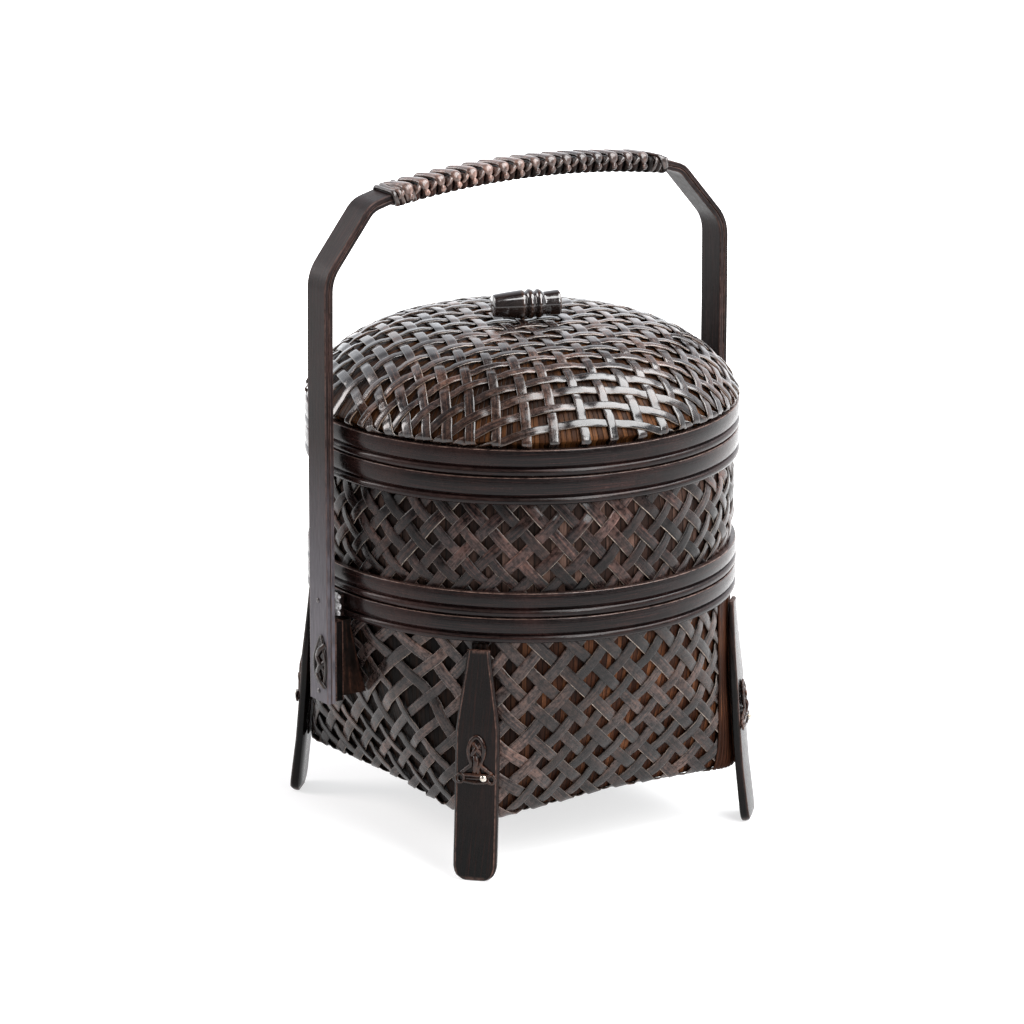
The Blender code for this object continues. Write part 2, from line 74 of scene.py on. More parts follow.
# ------------------------------------------------------------------ mesh building
class Build:
    """Collects closed solids that become one object."""

    def __init__(self):
        self.verts, self.faces, self.grain, self.edge, self.tone = [], [], [], [], []
        self.count = 0

    def add(self, verts, faces, grain, edge, tone=0.5):
        verts = np.asarray(verts, float).reshape(-1, 3)
        n = len(verts)
        self.verts.append(verts)
        self.faces += [[i + self.count for i in f] for f in faces]
        self.grain.append(np.asarray(grain, float).reshape(-1, 3))
        self.edge.append(np.broadcast_to(np.asarray(edge, float).reshape(-1), (n,)))
        self.tone.append(np.full(n, float(tone)))
        self.count += n

    def make(self, name, material, body, replaces=(), hard=None):
        mesh = bpy.data.meshes.new(name)
        verts = np.concatenate(self.verts) * MM
        mesh.from_pydata(verts.tolist(), [], self.faces)
        grain = mesh.attributes.new("grain", "FLOAT_VECTOR", "POINT")
        grain.data.foreach_set("vector", np.concatenate(self.grain).astype(np.float32).ravel())
        for key, values in (("edge", self.edge), ("tone", self.tone)):
            layer = mesh.attributes.new(key, "FLOAT", "POINT")
            layer.data.foreach_set("value", np.concatenate(values).astype(np.float32))
        mesh.materials.append(material)
        mesh.shade_smooth()
        if hard is not None:
            mesh.set_sharp_from_angle(angle=math.radians(hard))
        obj = bpy.data.objects.new(name, mesh)
        bpy.context.scene.collection.objects.link(obj)
        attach(obj, body)
        if replaces:
            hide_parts(*replaces)
        return obj


def ring_faces(rows, cols, loop=False):
    """Quads between successive rings; the two ends are capped unless the path is a loop."""
    faces = []
    for i in range(rows if loop else rows - 1):
        a, b = i * cols, ((i + 1) % rows) * cols
        faces += [(a + j, a + (j + 1) % cols, b + (j + 1) % cols, b + j) for j in range(cols)]
    if not loop:
        faces.append(tuple(range(cols))[::-1])
        faces.append(tuple(range((rows - 1) * cols, rows * cols)))
    return faces


def unit(a):
    return a / np.maximum(np.linalg.norm(a, axis=-1, keepdims=True), 1e-12)


# across (-1..1), height (-0.5..0.5 of the thickness), pale edge: wear with a painted highlight
SPLINT = np.array([(-1.0, -0.5, 0.2), (-1.0, -0.08, 0.7), (-0.955, 0.15, 1.0), (-0.88, 0.30, 0.0),
                   (-0.76, 0.44, 0.0), (-0.42, 0.52, 0.0), (0.42, 0.52, 0.0), (0.76, 0.44, 0.0),
                   (0.88, 0.30, 0.0), (0.955, 0.15, 1.0), (1.0, -0.08, 0.7), (1.0, -0.5, 0.2)])


def splint(build, path, normal, half, thick, tone=0.5, seed=0.0, section=SPLINT, loop=False,
           side=None, wear_and_highlight=(1.0, 1.0)):
    """Sweeps a flat split strip along a path, its face turned to the normals. Its last argument sets how pale its
    left and right edges are painted: wear, and a painted highlight where light catches them."""
    path, normal = np.asarray(path, float), np.asarray(normal, float)
    n = len(path)
    if loop:
        run = unit(np.roll(path, -1, 0) - np.roll(path, 1, 0))
    else:
        run = unit(np.gradient(path, axis=0))
    if side is None:
        side = unit(np.cross(normal, run))
    else:
        side = np.broadcast_to(np.asarray(side, float), path.shape)
    out = unit(np.cross(run, side))
    half = np.broadcast_to(np.asarray(half, float), (n,))
    thick = np.broadcast_to(np.asarray(thick, float), (n,))
    u, h, worn = section[:, 0], section[:, 1], section[:, 2]
    verts = (path[:, None, :] + side[:, None, :] * (u[None, :] * half[:, None])[..., None]
             + out[:, None, :] * (h[None, :] * thick[:, None])[..., None])
    step = np.linalg.norm(np.diff(path, axis=0), axis=1)
    along = np.concatenate(([0.0], np.cumsum(step)))
    grain = np.zeros((n, len(u), 3))
    grain[..., 0] = along[:, None]
    grain[..., 1] = u[None, :] * half[:, None]
    grain[..., 2] = seed
    edge = np.broadcast_to(worn * np.where(u < 0, wear_and_highlight[0], wear_and_highlight[1]), (n, len(u)))
    build.add(verts, ring_faces(n, len(u), loop), grain, edge.ravel(), tone)


def slab_section(chamfer_u, chamfer_h, steps=2, worn=1.0, flats=(0.12, 0.88)):
    """A rounded rectangle: across -1..1 and height -0.5..0.5, its corners eased and rubbed."""
    arcs = []
    for su, sh in ((-1, 1), (1, 1), (1, -1), (-1, -1)):
        arc = [(su * (1 - chamfer_u * (1 - math.sin(t))), sh * (0.5 - chamfer_h * (1 - math.cos(t))),
                worn) for t in np.linspace(0, PI / 2, steps + 1)]
        arcs.append(arc if su * sh > 0 else arc[::-1])
    points = []
    for k, arc in enumerate(arcs):
        (u0, h0, _), (u1, h1, _) = arc[-1], arcs[(k + 1) % 4][0]
        points += arc + [(u0 + (u1 - u0) * f, h0 + (h1 - h0) * f, 0.0) for f in flats]
    return np.array(points)


def turned(build, profile, steps, edge=None, seed=0.0, tone=0.5, axis="z", wobble=0.0, swell=None):
    """A closed outline of (radius, height) turned about Z, or about X."""
    profile = np.asarray(profile, float)
    n = len(profile)
    a = np.linspace(0, 2 * PI, steps, endpoint=False)
    r = np.broadcast_to(profile[None, :, 0], (steps, n)).copy()
    h = np.broadcast_to(profile[None, :, 1], (steps, n)).copy()
    if wobble:
        wave = (np.sin(3 * a + seed) + 0.6 * np.sin(5 * a + 2.1 * seed) + 0.4 * np.sin(11 * a + seed))
        h += (wobble * wave)[:, None]
    if swell is not None:
        r += swell(a)[:, None]
    if axis == "z":
        verts = np.stack([r * np.cos(a)[:, None], r * np.sin(a)[:, None], h], -1)
    else:
        verts = np.stack([h, r * np.cos(a)[:, None], r * np.sin(a)[:, None]], -1)
    step = np.linalg.norm(np.diff(profile, axis=0, append=profile[:1]), axis=1)
    across = np.concatenate(([0.0], np.cumsum(step)[:-1]))
    grain = np.zeros((steps, n, 3))
    if axis == "z":
        grain[..., 0] = (a * profile[:, 0].max())[:, None]
        grain[..., 1] = across[None, :]
    else:
        grain[..., 0] = h
        grain[..., 1] = (a * profile[:, 0].max())[:, None]
    grain[..., 2] = seed
    worn = np.zeros(n) if edge is None else np.asarray(edge, float)
    build.add(verts, ring_faces(steps, n, loop=True), grain,
              np.broadcast_to(worn, (steps, n)).ravel(), tone)


def lathe(build, profile, steps, axis="x", centre=(0, 0, 0), seed=0.0, tone=0.5, worn=None):
    """An open outline that starts and ends on the axis, closed by its two poles."""
    profile = np.asarray(profile, float)
    body = profile[1:-1]
    a = np.linspace(0, 2 * PI, steps, endpoint=False)
    rings = []
    for r, h in body:
        if axis == "x":
            rings.append(np.stack([np.full(steps, h), r * np.cos(a), r * np.sin(a)], -1))
        else:
            rings.append(np.stack([r * np.cos(a), r * np.sin(a), np.full(steps, h)], -1))
    rows = len(rings)
    poles = [(profile[0][1], 0, 0), (profile[-1][1], 0, 0)]
    if axis == "z":
        poles = [(0, 0, p[0]) for p in poles]
    verts = np.concatenate(rings + [np.array(poles)]) + np.asarray(centre, float)
    faces = []
    for i in range(rows - 1):
        for j in range(steps):
            k = (j + 1) % steps
            faces.append((i * steps + j, i * steps + k, (i + 1) * steps + k, (i + 1) * steps + j))
    first, last = rows * steps, rows * steps + 1
    for j in range(steps):
        k = (j + 1) % steps
        faces.append((first, k, j))
        faces.append((last, (rows - 1) * steps + j, (rows - 1) * steps + k))
    along = np.concatenate([np.full(steps, h) for _, h in body] + [[profile[0][1], profile[-1][1]]])
    round_ = np.concatenate([a * r for r, _ in body] + [[0.0, 0.0]])
    grain = np.stack([along, round_, np.full(len(along), seed)], -1)
    edge = np.zeros(len(along))
    if worn is not None:
        edge = np.concatenate([np.full(steps, w) for w in worn[1:-1]] + [[worn[0], worn[-1]]])
    build.add(verts, faces, grain, edge, tone)


def smooth_path(points, steps=8, loop=False):
    """A Catmull-Rom curve through the points."""
    p = np.asarray(points, float)
    n = len(p)
    out = []
    for i in range(n if loop else n - 1):
        if loop:
            a, b, c, d = p[(i - 1) % n], p[i], p[(i + 1) % n], p[(i + 2) % n]
        else:
            a, b, c, d = p[max(0, i - 1)], p[i], p[i + 1], p[min(n - 1, i + 2)]
        for t in np.linspace(0, 1, steps, endpoint=False):
            out.append(0.5 * (2 * b + (c - a) * t + (2 * a - 5 * b + 4 * c - d) * t * t
                              + (3 * b - a - 3 * c + d) * t ** 3))
    if not loop:
        out.append(p[-1])
    return np.array(out)


CORD = np.array([(math.cos(t), 0.5 * math.sin(t), 0.35 * max(0.0, math.sin(t)) ** 2)
                 for t in np.linspace(PI, -PI, 10, endpoint=False)])


# ------------------------------------------------------------------ materials
class Look:
    """A material and short ways to add nodes to it."""

    def __init__(self, name):
        self.material = bpy.data.materials.new(name)
        self.material.use_nodes = True
        self.tree = self.material.node_tree
        self.shader = self.tree.nodes["Principled BSDF"]

    def put(self, socket, value):
        if isinstance(value, bpy.types.NodeSocket):
            self.tree.links.new(value, socket)
        elif isinstance(value, (tuple, list)) and len(value) == 3 and socket.type == "RGBA":
            socket.default_value = (*value, 1.0)
        else:
            socket.default_value = value

    def set(self, **values):
        for key, value in values.items():
            self.put(self.shader.inputs[key.replace("_", " ")], value)
        return self

    def attribute(self, name, output="Fac"):
        node = self.tree.nodes.new("ShaderNodeAttribute")
        node.attribute_name = name
        return node.outputs[output]

    def object_point(self):
        return self.tree.nodes.new("ShaderNodeTexCoord").outputs["Object"]

    def math(self, kind, a, b=0.0, c=None, clamp=False):
        node = self.tree.nodes.new("ShaderNodeMath")
        node.operation, node.use_clamp = kind, clamp
        self.put(node.inputs[0], a)
        self.put(node.inputs[1], b)
        if c is not None:
            self.put(node.inputs[2], c)
        return node.outputs[0]

    def split(self, vector):
        node = self.tree.nodes.new("ShaderNodeSeparateXYZ")
        self.put(node.inputs[0], vector)
        return node.outputs[0], node.outputs[1], node.outputs[2]

    def join(self, x, y, z):
        node = self.tree.nodes.new("ShaderNodeCombineXYZ")
        for socket, value in zip(node.inputs, (x, y, z)):
            self.put(socket, value)
        return node.outputs[0]

    def noise(self, vector, scale=1.0, detail=3.0, rough=0.55, warp=0.0):
        node = self.tree.nodes.new("ShaderNodeTexNoise")
        self.put(node.inputs["Vector"], vector)
        node.inputs["Scale"].default_value = scale
        node.inputs["Detail"].default_value = detail
        node.inputs["Roughness"].default_value = rough
        node.inputs["Distortion"].default_value = warp
        return node.outputs["Fac"]

    def ramp(self, value, *stops):
        node = self.tree.nodes.new("ShaderNodeValToRGB")
        points = node.color_ramp.elements
        while len(points) < len(stops):
            points.new(0.5)
        for point, (at, colour) in zip(points, stops):
            point.position = at
            if not isinstance(colour, tuple):
                colour = (colour,) * 3
            point.color = (*colour, 1.0)
        self.put(node.inputs[0], value)
        return node.outputs["Color"]

    def mix(self, share, a, b, kind="MIX"):
        node = self.tree.nodes.new("ShaderNodeMix")
        node.data_type, node.blend_type = "RGBA", kind
        self.put(node.inputs[0], share)
        self.put(node.inputs[6], a)
        self.put(node.inputs[7], b)
        return node.outputs[2]

    def bump(self, height, strength, distance, under=None):
        node = self.tree.nodes.new("ShaderNodeBump")
        node.inputs["Strength"].default_value = strength
        node.inputs["Distance"].default_value = distance
        self.put(node.inputs["Height"], height)
        if under is not None:
            self.put(node.inputs["Normal"], under)
        return node.outputs[0]


def bamboo(name, dark, mid, warm, worn, rough=(0.26, 0.5), streak=1.9, edge_share=0.8, coat=0.25,
           coat_rough=0.2, warm_share=0.5, specular=0.5, fine=0.35, patch=70.0, low=None, speck=0.3, painted_shade_patch=None):
    """Lacquered bamboo: fibre streaks along the grain, warmer patches and rubbed edges."""
    look = Look(name)
    x, y, seed = look.split(look.attribute("grain", "Vector"))
    tone = look.attribute("tone")
    edge = look.attribute("edge")
    shift = look.math("MULTIPLY", seed, 13.7)
    fibre = look.noise(look.join(look.math("MULTIPLY", x, 0.045), look.math("MULTIPLY", y, streak),
                                 shift), 1.0, 5.0, 0.62)
    hair = look.noise(look.join(look.math("MULTIPLY", x, 0.16), look.math("MULTIPLY", y, streak * 4),
                                shift), 1.0, 2.0, 0.5)
    blot = look.noise(look.object_point(), patch, 3.0, 0.6)
    base = look.ramp(fibre, (0.30, dark), (0.52, mid), (0.72, warm))
    warmth = look.math("MULTIPLY", look.ramp(blot, (0.46, 0.0), (0.66, 1.0)), warm_share)
    base = look.mix(warmth, base, warm)
    shade = look.math("MULTIPLY_ADD", tone, 1.5, 0.25)
    base = look.mix(1.0, base, look.join(shade, shade, shade), "MULTIPLY")
    lined = look.ramp(hair, (0.36, 0.62), (0.6, 1.1))
    base = look.mix(1.0, base, lined, "MULTIPLY")
    mottle = look.noise(look.object_point(), 620.0, 3.0, 0.65)
    grey = look.ramp(mottle, (0.34, 1.0 - 1.3 * speck), (0.66, 1.0 + 1.6 * speck))
    base = look.mix(1.0, base, grey, "MULTIPLY")
    cloud = look.ramp(look.noise(look.object_point(), 34.0, 3.0, 0.55), (0.38, 1.0 - speck),
                      (0.64, 1.0 + 1.2 * speck))
    base = look.mix(1.0, base, cloud, "MULTIPLY")
    if low is not None:
        # the legs are painted paler and greyer towards their lower ends
        height = look.math("MULTIPLY", look.split(look.object_point())[2], 1000.0)
        paler_low = look.math("MULTIPLY", look.ramp(look.math("DIVIDE", height, 220.0), (0.34, 1.0),
                                                   (0.62, 0.0)), 0.8)
        base = look.mix(paler_low, base, look.mix(1.0, low, lined, "MULTIPLY"))
    broken = look.noise(look.join(look.math("MULTIPLY", x, 0.35), y, shift), 1.0, 3.0, 0.7)
    # edges are painted pale: wear, and on the weave's strips and the hoops' beads a painted highlight where light
    # catches them
    wear_and_highlight = look.math("MULTIPLY", edge, look.ramp(broken, (0.36, 0.15), (0.62, 1.0)))
    wear_and_highlight = look.math("MULTIPLY", wear_and_highlight, edge_share, clamp=True)
    colour = look.mix(wear_and_highlight, base, worn)
    uneven = look.math("MULTIPLY_ADD", mottle, 0.55, look.math("MULTIPLY", fibre, 0.45))
    roughness = look.ramp(uneven, (0.38, rough[0]), (0.64, rough[1]))
    if painted_shade_patch is not None:
        # painted shade: one patch of the lid's front is painted dark brown and its coat thinned; x, y, z and
        # radius in millimetres
        parts = [look.math("SUBTRACT", look.math("MULTIPLY", c, 1000.0), at)
                 for c, at in zip(look.split(look.object_point()), painted_shade_patch)]
        squares = [look.math("MULTIPLY", c, c) for c in parts]
        away = look.math("SQRT", look.math("ADD", squares[0], look.math("ADD", squares[1], squares[2])))
        patch_shade = look.ramp(look.math("DIVIDE", away, painted_shade_patch[3]), (0.45, 1.0), (1.0, 0.0))
        colour = look.mix(look.math("MULTIPLY", patch_shade, 0.6), colour,
                          look.mix(1.0, look.ramp(fibre, (0.36, (0.002, 0.001, 0.001)),
                                                  (0.66, (0.040, 0.017, 0.009))), grey, "MULTIPLY"))
        coat = look.math("MULTIPLY", look.math("MULTIPLY_ADD", patch_shade, -0.7, 1.0), coat)
    height = look.math("MULTIPLY_ADD", hair, fine, look.math("MULTIPLY_ADD", mottle, 0.8, fibre))
    look.set(Base_Color=colour, Roughness=roughness, Coat_Weight=coat, Coat_Roughness=coat_rough,
             Specular_IOR_Level=specular, Normal=look.bump(height, 0.35, 0.00012))
    return look.material


weave_look = bamboo("woven_lacquer", (0.005, 0.0035, 0.0035), (0.019, 0.014, 0.013),
                    (0.052, 0.028, 0.021), (0.50, 0.40, 0.33), rough=(0.18, 0.44), streak=1.6,
                    edge_share=0.85, coat=0.08, coat_rough=0.15, warm_share=0.45, specular=0.27,
                    speck=0.55)
tray_look = bamboo("woven_tray_lacquer", (0.003, 0.002, 0.002), (0.013, 0.008, 0.0075),
                   (0.052, 0.026, 0.020), (0.56, 0.46, 0.38), rough=(0.18, 0.42), streak=1.6,
                   edge_share=1.0, coat=0.10, coat_rough=0.15, warm_share=0.45, specular=0.17,
                   speck=0.55)
# the lid's front patch given below is painted shade
lid_look = bamboo("woven_lid_lacquer", (0.003, 0.002, 0.002), (0.012, 0.008, 0.0075),
                  (0.052, 0.025, 0.016), (0.44, 0.32, 0.23), rough=(0.14, 0.38), streak=1.6,
                  edge_share=0.6, coat=0.42, coat_rough=0.12, warm_share=0.5, specular=0.5,
                  speck=0.5, painted_shade_patch=(-45.0, -46.0, 153.0, 26.0))
band_look = bamboo("hoop_lacquer", (0.002, 0.0012, 0.0012), (0.006, 0.0035, 0.0035),
                   (0.028, 0.011, 0.009), (0.26, 0.17, 0.14), rough=(0.12, 0.28), streak=2.4,
                   edge_share=0.5, coat=0.0, coat_rough=0.16, warm_share=0.55, specular=0.19,
                   patch=25.0, speck=0.16)
bow_look = bamboo("bow_lacquer", (0.006, 0.0045, 0.0045), (0.011, 0.0075, 0.0075),
                  (0.028, 0.013, 0.011), (0.12, 0.072, 0.060), rough=(0.28, 0.46), streak=2.0,
                  edge_share=0.5, coat=0.02, coat_rough=0.25, warm_share=0.35, specular=0.10,
                  patch=22.0, low=(0.120, 0.112, 0.126), speck=0.16)
foot_look = bamboo("foot_lacquer", (0.002, 0.002, 0.002), (0.004, 0.0036, 0.0036),
                   (0.016, 0.006, 0.0045), (0.13, 0.070, 0.054), rough=(0.13, 0.24), streak=1.5,
                   edge_share=0.75, coat=0.0, coat_rough=0.15, warm_share=0.25, specular=0.12,
                   patch=30.0, speck=0.12)
rattan_look = bamboo("rattan_strands", (0.010, 0.005, 0.004), (0.043, 0.024, 0.019),
                     (0.12, 0.070, 0.054), (0.38, 0.28, 0.22), rough=(0.22, 0.40), streak=1.2,
                     edge_share=0.1, coat=0.5, coat_rough=0.24, warm_share=0.35, specular=0.4,
                     speck=0.45)
# the turns and core under the braid: the same rattan painted much darker, as painted shade
shaded_rattan_look = bamboo("rattan_painted_shade", (0.002, 0.001, 0.0008), (0.007, 0.003, 0.0022),
                    (0.030, 0.013, 0.009), (0.12, 0.07, 0.05), rough=(0.34, 0.5), streak=2.2,
                    edge_share=0.1, coat=0.0, warm_share=0.4, specular=0.10, speck=0.5)
knot_look = bamboo("rattan_lashing", (0.002, 0.001, 0.001), (0.009, 0.004, 0.003),
                   (0.045, 0.019, 0.011), (0.26, 0.17, 0.12), rough=(0.12, 0.26), streak=2.2,
                   edge_share=0.10, coat=0.36, coat_rough=0.06, warm_share=0.5, specular=0.12,
                   speck=0.5)
wedge_look = bamboo("wedge_lacquer", (0.002, 0.0012, 0.001), (0.007, 0.0035, 0.0025),
                    (0.055, 0.022, 0.013), (0.22, 0.13, 0.09), rough=(0.3, 0.5), streak=0.9,
                    edge_share=0.8, coat=0.0, warm_share=0.2, specular=0.10, speck=0.4)


def lining(name, deep, mid, light, rough, sliver=1.7, away_side_shade=0.4, height_shade=None):
    """Flat splints that line the wall: fine upright slivers with dark joints between them."""
    look = Look(name)
    x, y, seed = look.split(look.attribute("grain", "Vector"))
    fibre = look.noise(look.join(look.math("MULTIPLY", x, 0.10), look.math("MULTIPLY", y, 1.5), seed),
                       1.0, 5.0, 0.65)
    cell = look.math("FLOOR", look.math("DIVIDE", y, sliver))
    odd = look.noise(look.join(look.math("MULTIPLY", cell, 3.37), look.math("MULTIPLY", x, 0.05), 4.0),
                     1.0, 1.0, 0.5)
    place_ = look.math("FRACT", look.math("DIVIDE", y, sliver))
    joint = look.math("ABSOLUTE", look.math("SUBTRACT", place_, 0.5))
    joint = look.ramp(joint, (0.36, 1.0), (0.48, 0.22))
    share = look.math("MULTIPLY_ADD", odd, 0.7, look.math("MULTIPLY", fibre, 0.4))
    colour = look.ramp(share, (0.34, deep), (0.55, mid), (0.78, light))
    blot = look.noise(look.object_point(), 55.0, 2.0, 0.6)
    colour = look.mix(1.0, colour, look.ramp(blot, (0.3, 0.55), (0.7, 1.25)), "MULTIPLY")
    colour = look.mix(1.0, colour, joint, "MULTIPLY")
    px, py, pz = look.split(look.object_point())
    # painted shade: the lining keeps its full colour only on the front and front-right, and is darkened to the
    # given level on the sides turned from the lights
    side = look.math("ADD", look.math("MULTIPLY", px, 0.30), look.math("MULTIPLY", py, -0.95))
    colour = look.mix(1.0, colour, look.ramp(look.math("MULTIPLY", side, 10.0), (0.30, away_side_shade),
                                             (0.56, 1.0)), "MULTIPLY")
    if height_shade is not None:
        # painted shade: the lining is darkened by height, to about a third between the second and third heights,
        # so the holes high on the dome read as shaded; it keeps its full colour below the first height and again
        # at the last
        colour = look.mix(1.0, colour, look.ramp(look.math("MULTIPLY", pz, 5.0), (height_shade[0] * 5, 1.0),
                                                 (height_shade[1] * 5, 0.34), (height_shade[2] * 5, 0.4),
                                                 (height_shade[3] * 5, 1.0)), "MULTIPLY")
    height = look.math("MULTIPLY_ADD", fibre, 0.4, joint)
    look.set(Base_Color=colour, Roughness=look.ramp(fibre, (0.3, rough[0]), (0.7, rough[1])),
             Specular_IOR_Level=0.07, Normal=look.bump(height, 0.5, 0.0003))
    return look.material


base_lining = lining("base_lining", (0.008, 0.003, 0.0016), (0.036, 0.012, 0.0055),
                     (0.17, 0.066, 0.028), (0.4, 0.6), away_side_shade=0.10)
tray_lining = lining("tray_lining", (0.006, 0.003, 0.0022), (0.025, 0.0125, 0.009),
                     (0.16, 0.094, 0.072), (0.42, 0.6), sliver=2.6, away_side_shade=0.5)
lid_lining = lining("lid_lining", (0.007, 0.0025, 0.001), (0.034, 0.012, 0.004),
                    (0.14, 0.056, 0.019), (0.35, 0.55), away_side_shade=0.8, height_shade=(0.1475, 0.1545, 0.159, 0.167))


def turned_wood():
    look = Look("black_gloss_wood")
    x, y, seed = look.split(look.attribute("grain", "Vector"))
    fibre = look.noise(look.join(look.math("MULTIPLY", x, 0.12), look.math("MULTIPLY", y, 1.3), 2.0),
                       1.0, 4.0, 0.6)
    colour = look.ramp(fibre, (0.35, (0.006, 0.0045, 0.0045)), (0.7, (0.020, 0.013, 0.011)))
    colour = look.mix(look.math("MULTIPLY", look.attribute("edge"), 0.6), colour, (0.07, 0.035, 0.022))
    look.set(Base_Color=colour, Roughness=look.ramp(fibre, (0.3, 0.10), (0.75, 0.19)),
             Coat_Weight=0.8, Coat_Roughness=0.05, Normal=look.bump(fibre, 0.12, 0.0001))
    return look.material


def brass():
    look = Look("aged_brass")
    spot = look.noise(look.object_point(), 900.0, 3.0, 0.6)
    look.set(Base_Color=look.ramp(spot, (0.35, (0.40, 0.34, 0.27)), (0.65, (0.80, 0.77, 0.72))),
             Metallic=1.0, Roughness=look.ramp(spot, (0.3, 0.16), (0.7, 0.38)),
             Normal=look.bump(spot, 0.2, 0.0001))
    return look.material


def packing():
    look = Look("pale_packing")
    point = look.object_point()
    wrap = look.noise(point, 420.0, 3.0, 0.7, 0.6)
    look.set(Base_Color=look.ramp(wrap, (0.36, (0.10, 0.09, 0.09)), (0.58, (0.50, 0.50, 0.51))),
             Roughness=look.ramp(wrap, (0.3, 0.22), (0.7, 0.5)), Coat_Weight=0.5,
             Coat_Roughness=0.1, Normal=look.bump(wrap, 0.8, 0.0004))
    return look.material


def plain_lacquer(name, dark, warm, rough):
    """For frame pieces, which carry no grain of their own: fibre upright, by their place."""
    look = Look(name)
    x, y, z = look.split(look.object_point())
    fibre = look.noise(look.join(look.math("MULTIPLY", x, 1500.0), look.math("MULTIPLY", y, 1500.0),
                                 look.math("MULTIPLY", z, 60.0)), 1.0, 4.0, 0.6)
    blot = look.noise(look.object_point(), 60.0, 2.0, 0.6)
    colour = look.mix(look.ramp(blot, (0.4, 0.0), (0.7, 0.8)), look.ramp(
        fibre, (0.35, dark), (0.7, warm)), warm)
    look.set(Base_Color=colour, Roughness=look.ramp(fibre, (0.3, rough), (0.7, rough + 0.15)),
             Coat_Weight=0.2, Coat_Roughness=0.25, Normal=look.bump(fibre, 0.3, 0.0001))
    return look.material


def dark_iron():
    look = Look("blackened_nail")
    spot = look.noise(look.object_point(), 900.0, 3.0, 0.6)
    look.set(Base_Color=look.ramp(spot, (0.35, (0.05, 0.045, 0.045)), (0.65, (0.16, 0.15, 0.15))),
             Metallic=1.0, Roughness=look.ramp(spot, (0.3, 0.25), (0.7, 0.45)),
             Normal=look.bump(spot, 0.2, 0.0001))
    return look.material


wood_look, brass_look, packing_look, iron_look = turned_wood(), brass(), packing(), dark_iron()
plain_look = plain_lacquer("plain_lacquer", (0.012, 0.009, 0.009), (0.045, 0.022, 0.016), 0.32)
inner_look = plain_lacquer("inner_lacquer", (0.030, 0.016, 0.010), (0.11, 0.050, 0.026), 0.4)


# ------------------------------------------------------------------ the base's form, mm
def loft_share(z):
    return min(1.0, max(0.0, (75.0 - z) / 56.0))


def half_side(z):
    return 68.5 + (53.0 - 68.5) * loft_share(z) ** 1.15


def diagonal(z):
    return 68.5 + (72.0 - 68.5) * loft_share(z) ** 1.45


def square_radius(angle, half, corner):
    a = abs((angle + PI / 4) % (PI / 2) - PI / 4)
    flat = half - corner
    if half * math.tan(a) <= flat:
        return half / math.cos(a)
    total, off = math.cos(a) + math.sin(a), math.cos(a) - math.sin(a)
    return flat * total + math.sqrt(max(0.0, corner ** 2 - (flat * off) ** 2))


def base_ring(z, inset, count=720, dip=0.0):
    """A level of the base's outer wall, its points spaced evenly along it from +X."""
    half = half_side(z)
    corner = (half * math.sqrt(2) - diagonal(z)) / (math.sqrt(2) - 1)
    half, corner = half - inset, max(0.6, corner - inset)
    angle = np.linspace(0, 2 * PI, 1441)
    r = np.array([square_radius(a, half, corner) for a in angle])
    x, y = r * np.cos(angle), r * np.sin(angle)
    along = np.concatenate(([0.0], np.cumsum(np.hypot(np.diff(x), np.diff(y)))))
    want = np.linspace(0, along[-1], count + 1)[:-1]
    x, y = np.interp(want, along, x), np.interp(want, along, y)
    return np.stack([x, y, z - dip * np.abs(x * y) / 53.0 ** 2], -1)


class Wall:
    """A surface known at places round it (share 0..1) and down it (mm), with its normals."""

    def __init__(self, rings):
        self.grid = np.array(rings)                       # down, round, xyz
        step = np.linalg.norm(np.diff(self.grid, axis=0), axis=2).mean(1)
        self.down = np.concatenate(([0.0], np.cumsum(step)))
        round_ = np.roll(self.grid, -1, 1) - np.roll(self.grid, 1, 1)
        down = np.gradient(self.grid, self.down, axis=0)
        self.normals = unit(np.cross(down, round_))
        middle = self.grid.mean(axis=(0, 1))
        if (self.normals[0, 0] * (self.grid[0, 0] - middle)).sum() < 0:
            self.normals = -self.normals

    def at(self, share, down):
        rows, cols = self.grid.shape[:2]
        i = np.interp(down, self.down, np.arange(rows))
        i0 = np.clip(np.floor(i).astype(int), 0, rows - 2)
        fi = (i - i0)[:, None]
        j = (np.asarray(share) % 1.0) * cols
        j0 = np.floor(j).astype(int) % cols
        j1, fj = (j0 + 1) % cols, (j - np.floor(j))[:, None]

        def blend(g):
            return ((g[i0, j0] * (1 - fj) + g[i0, j1] * fj) * (1 - fi)
                    + (g[i0 + 1, j0] * (1 - fj) + g[i0 + 1, j1] * fj) * fi)

        return blend(self.grid), unit(blend(self.normals))


def over_under(c, sharp=2.8):
    """+1 over, -1 under, with flats where strips cross."""
    return np.tanh(sharp * np.cos(PI * c)) / math.tanh(sharp)


SPLINT_T = 0.50
LIFT = 0.25
MID = -0.42


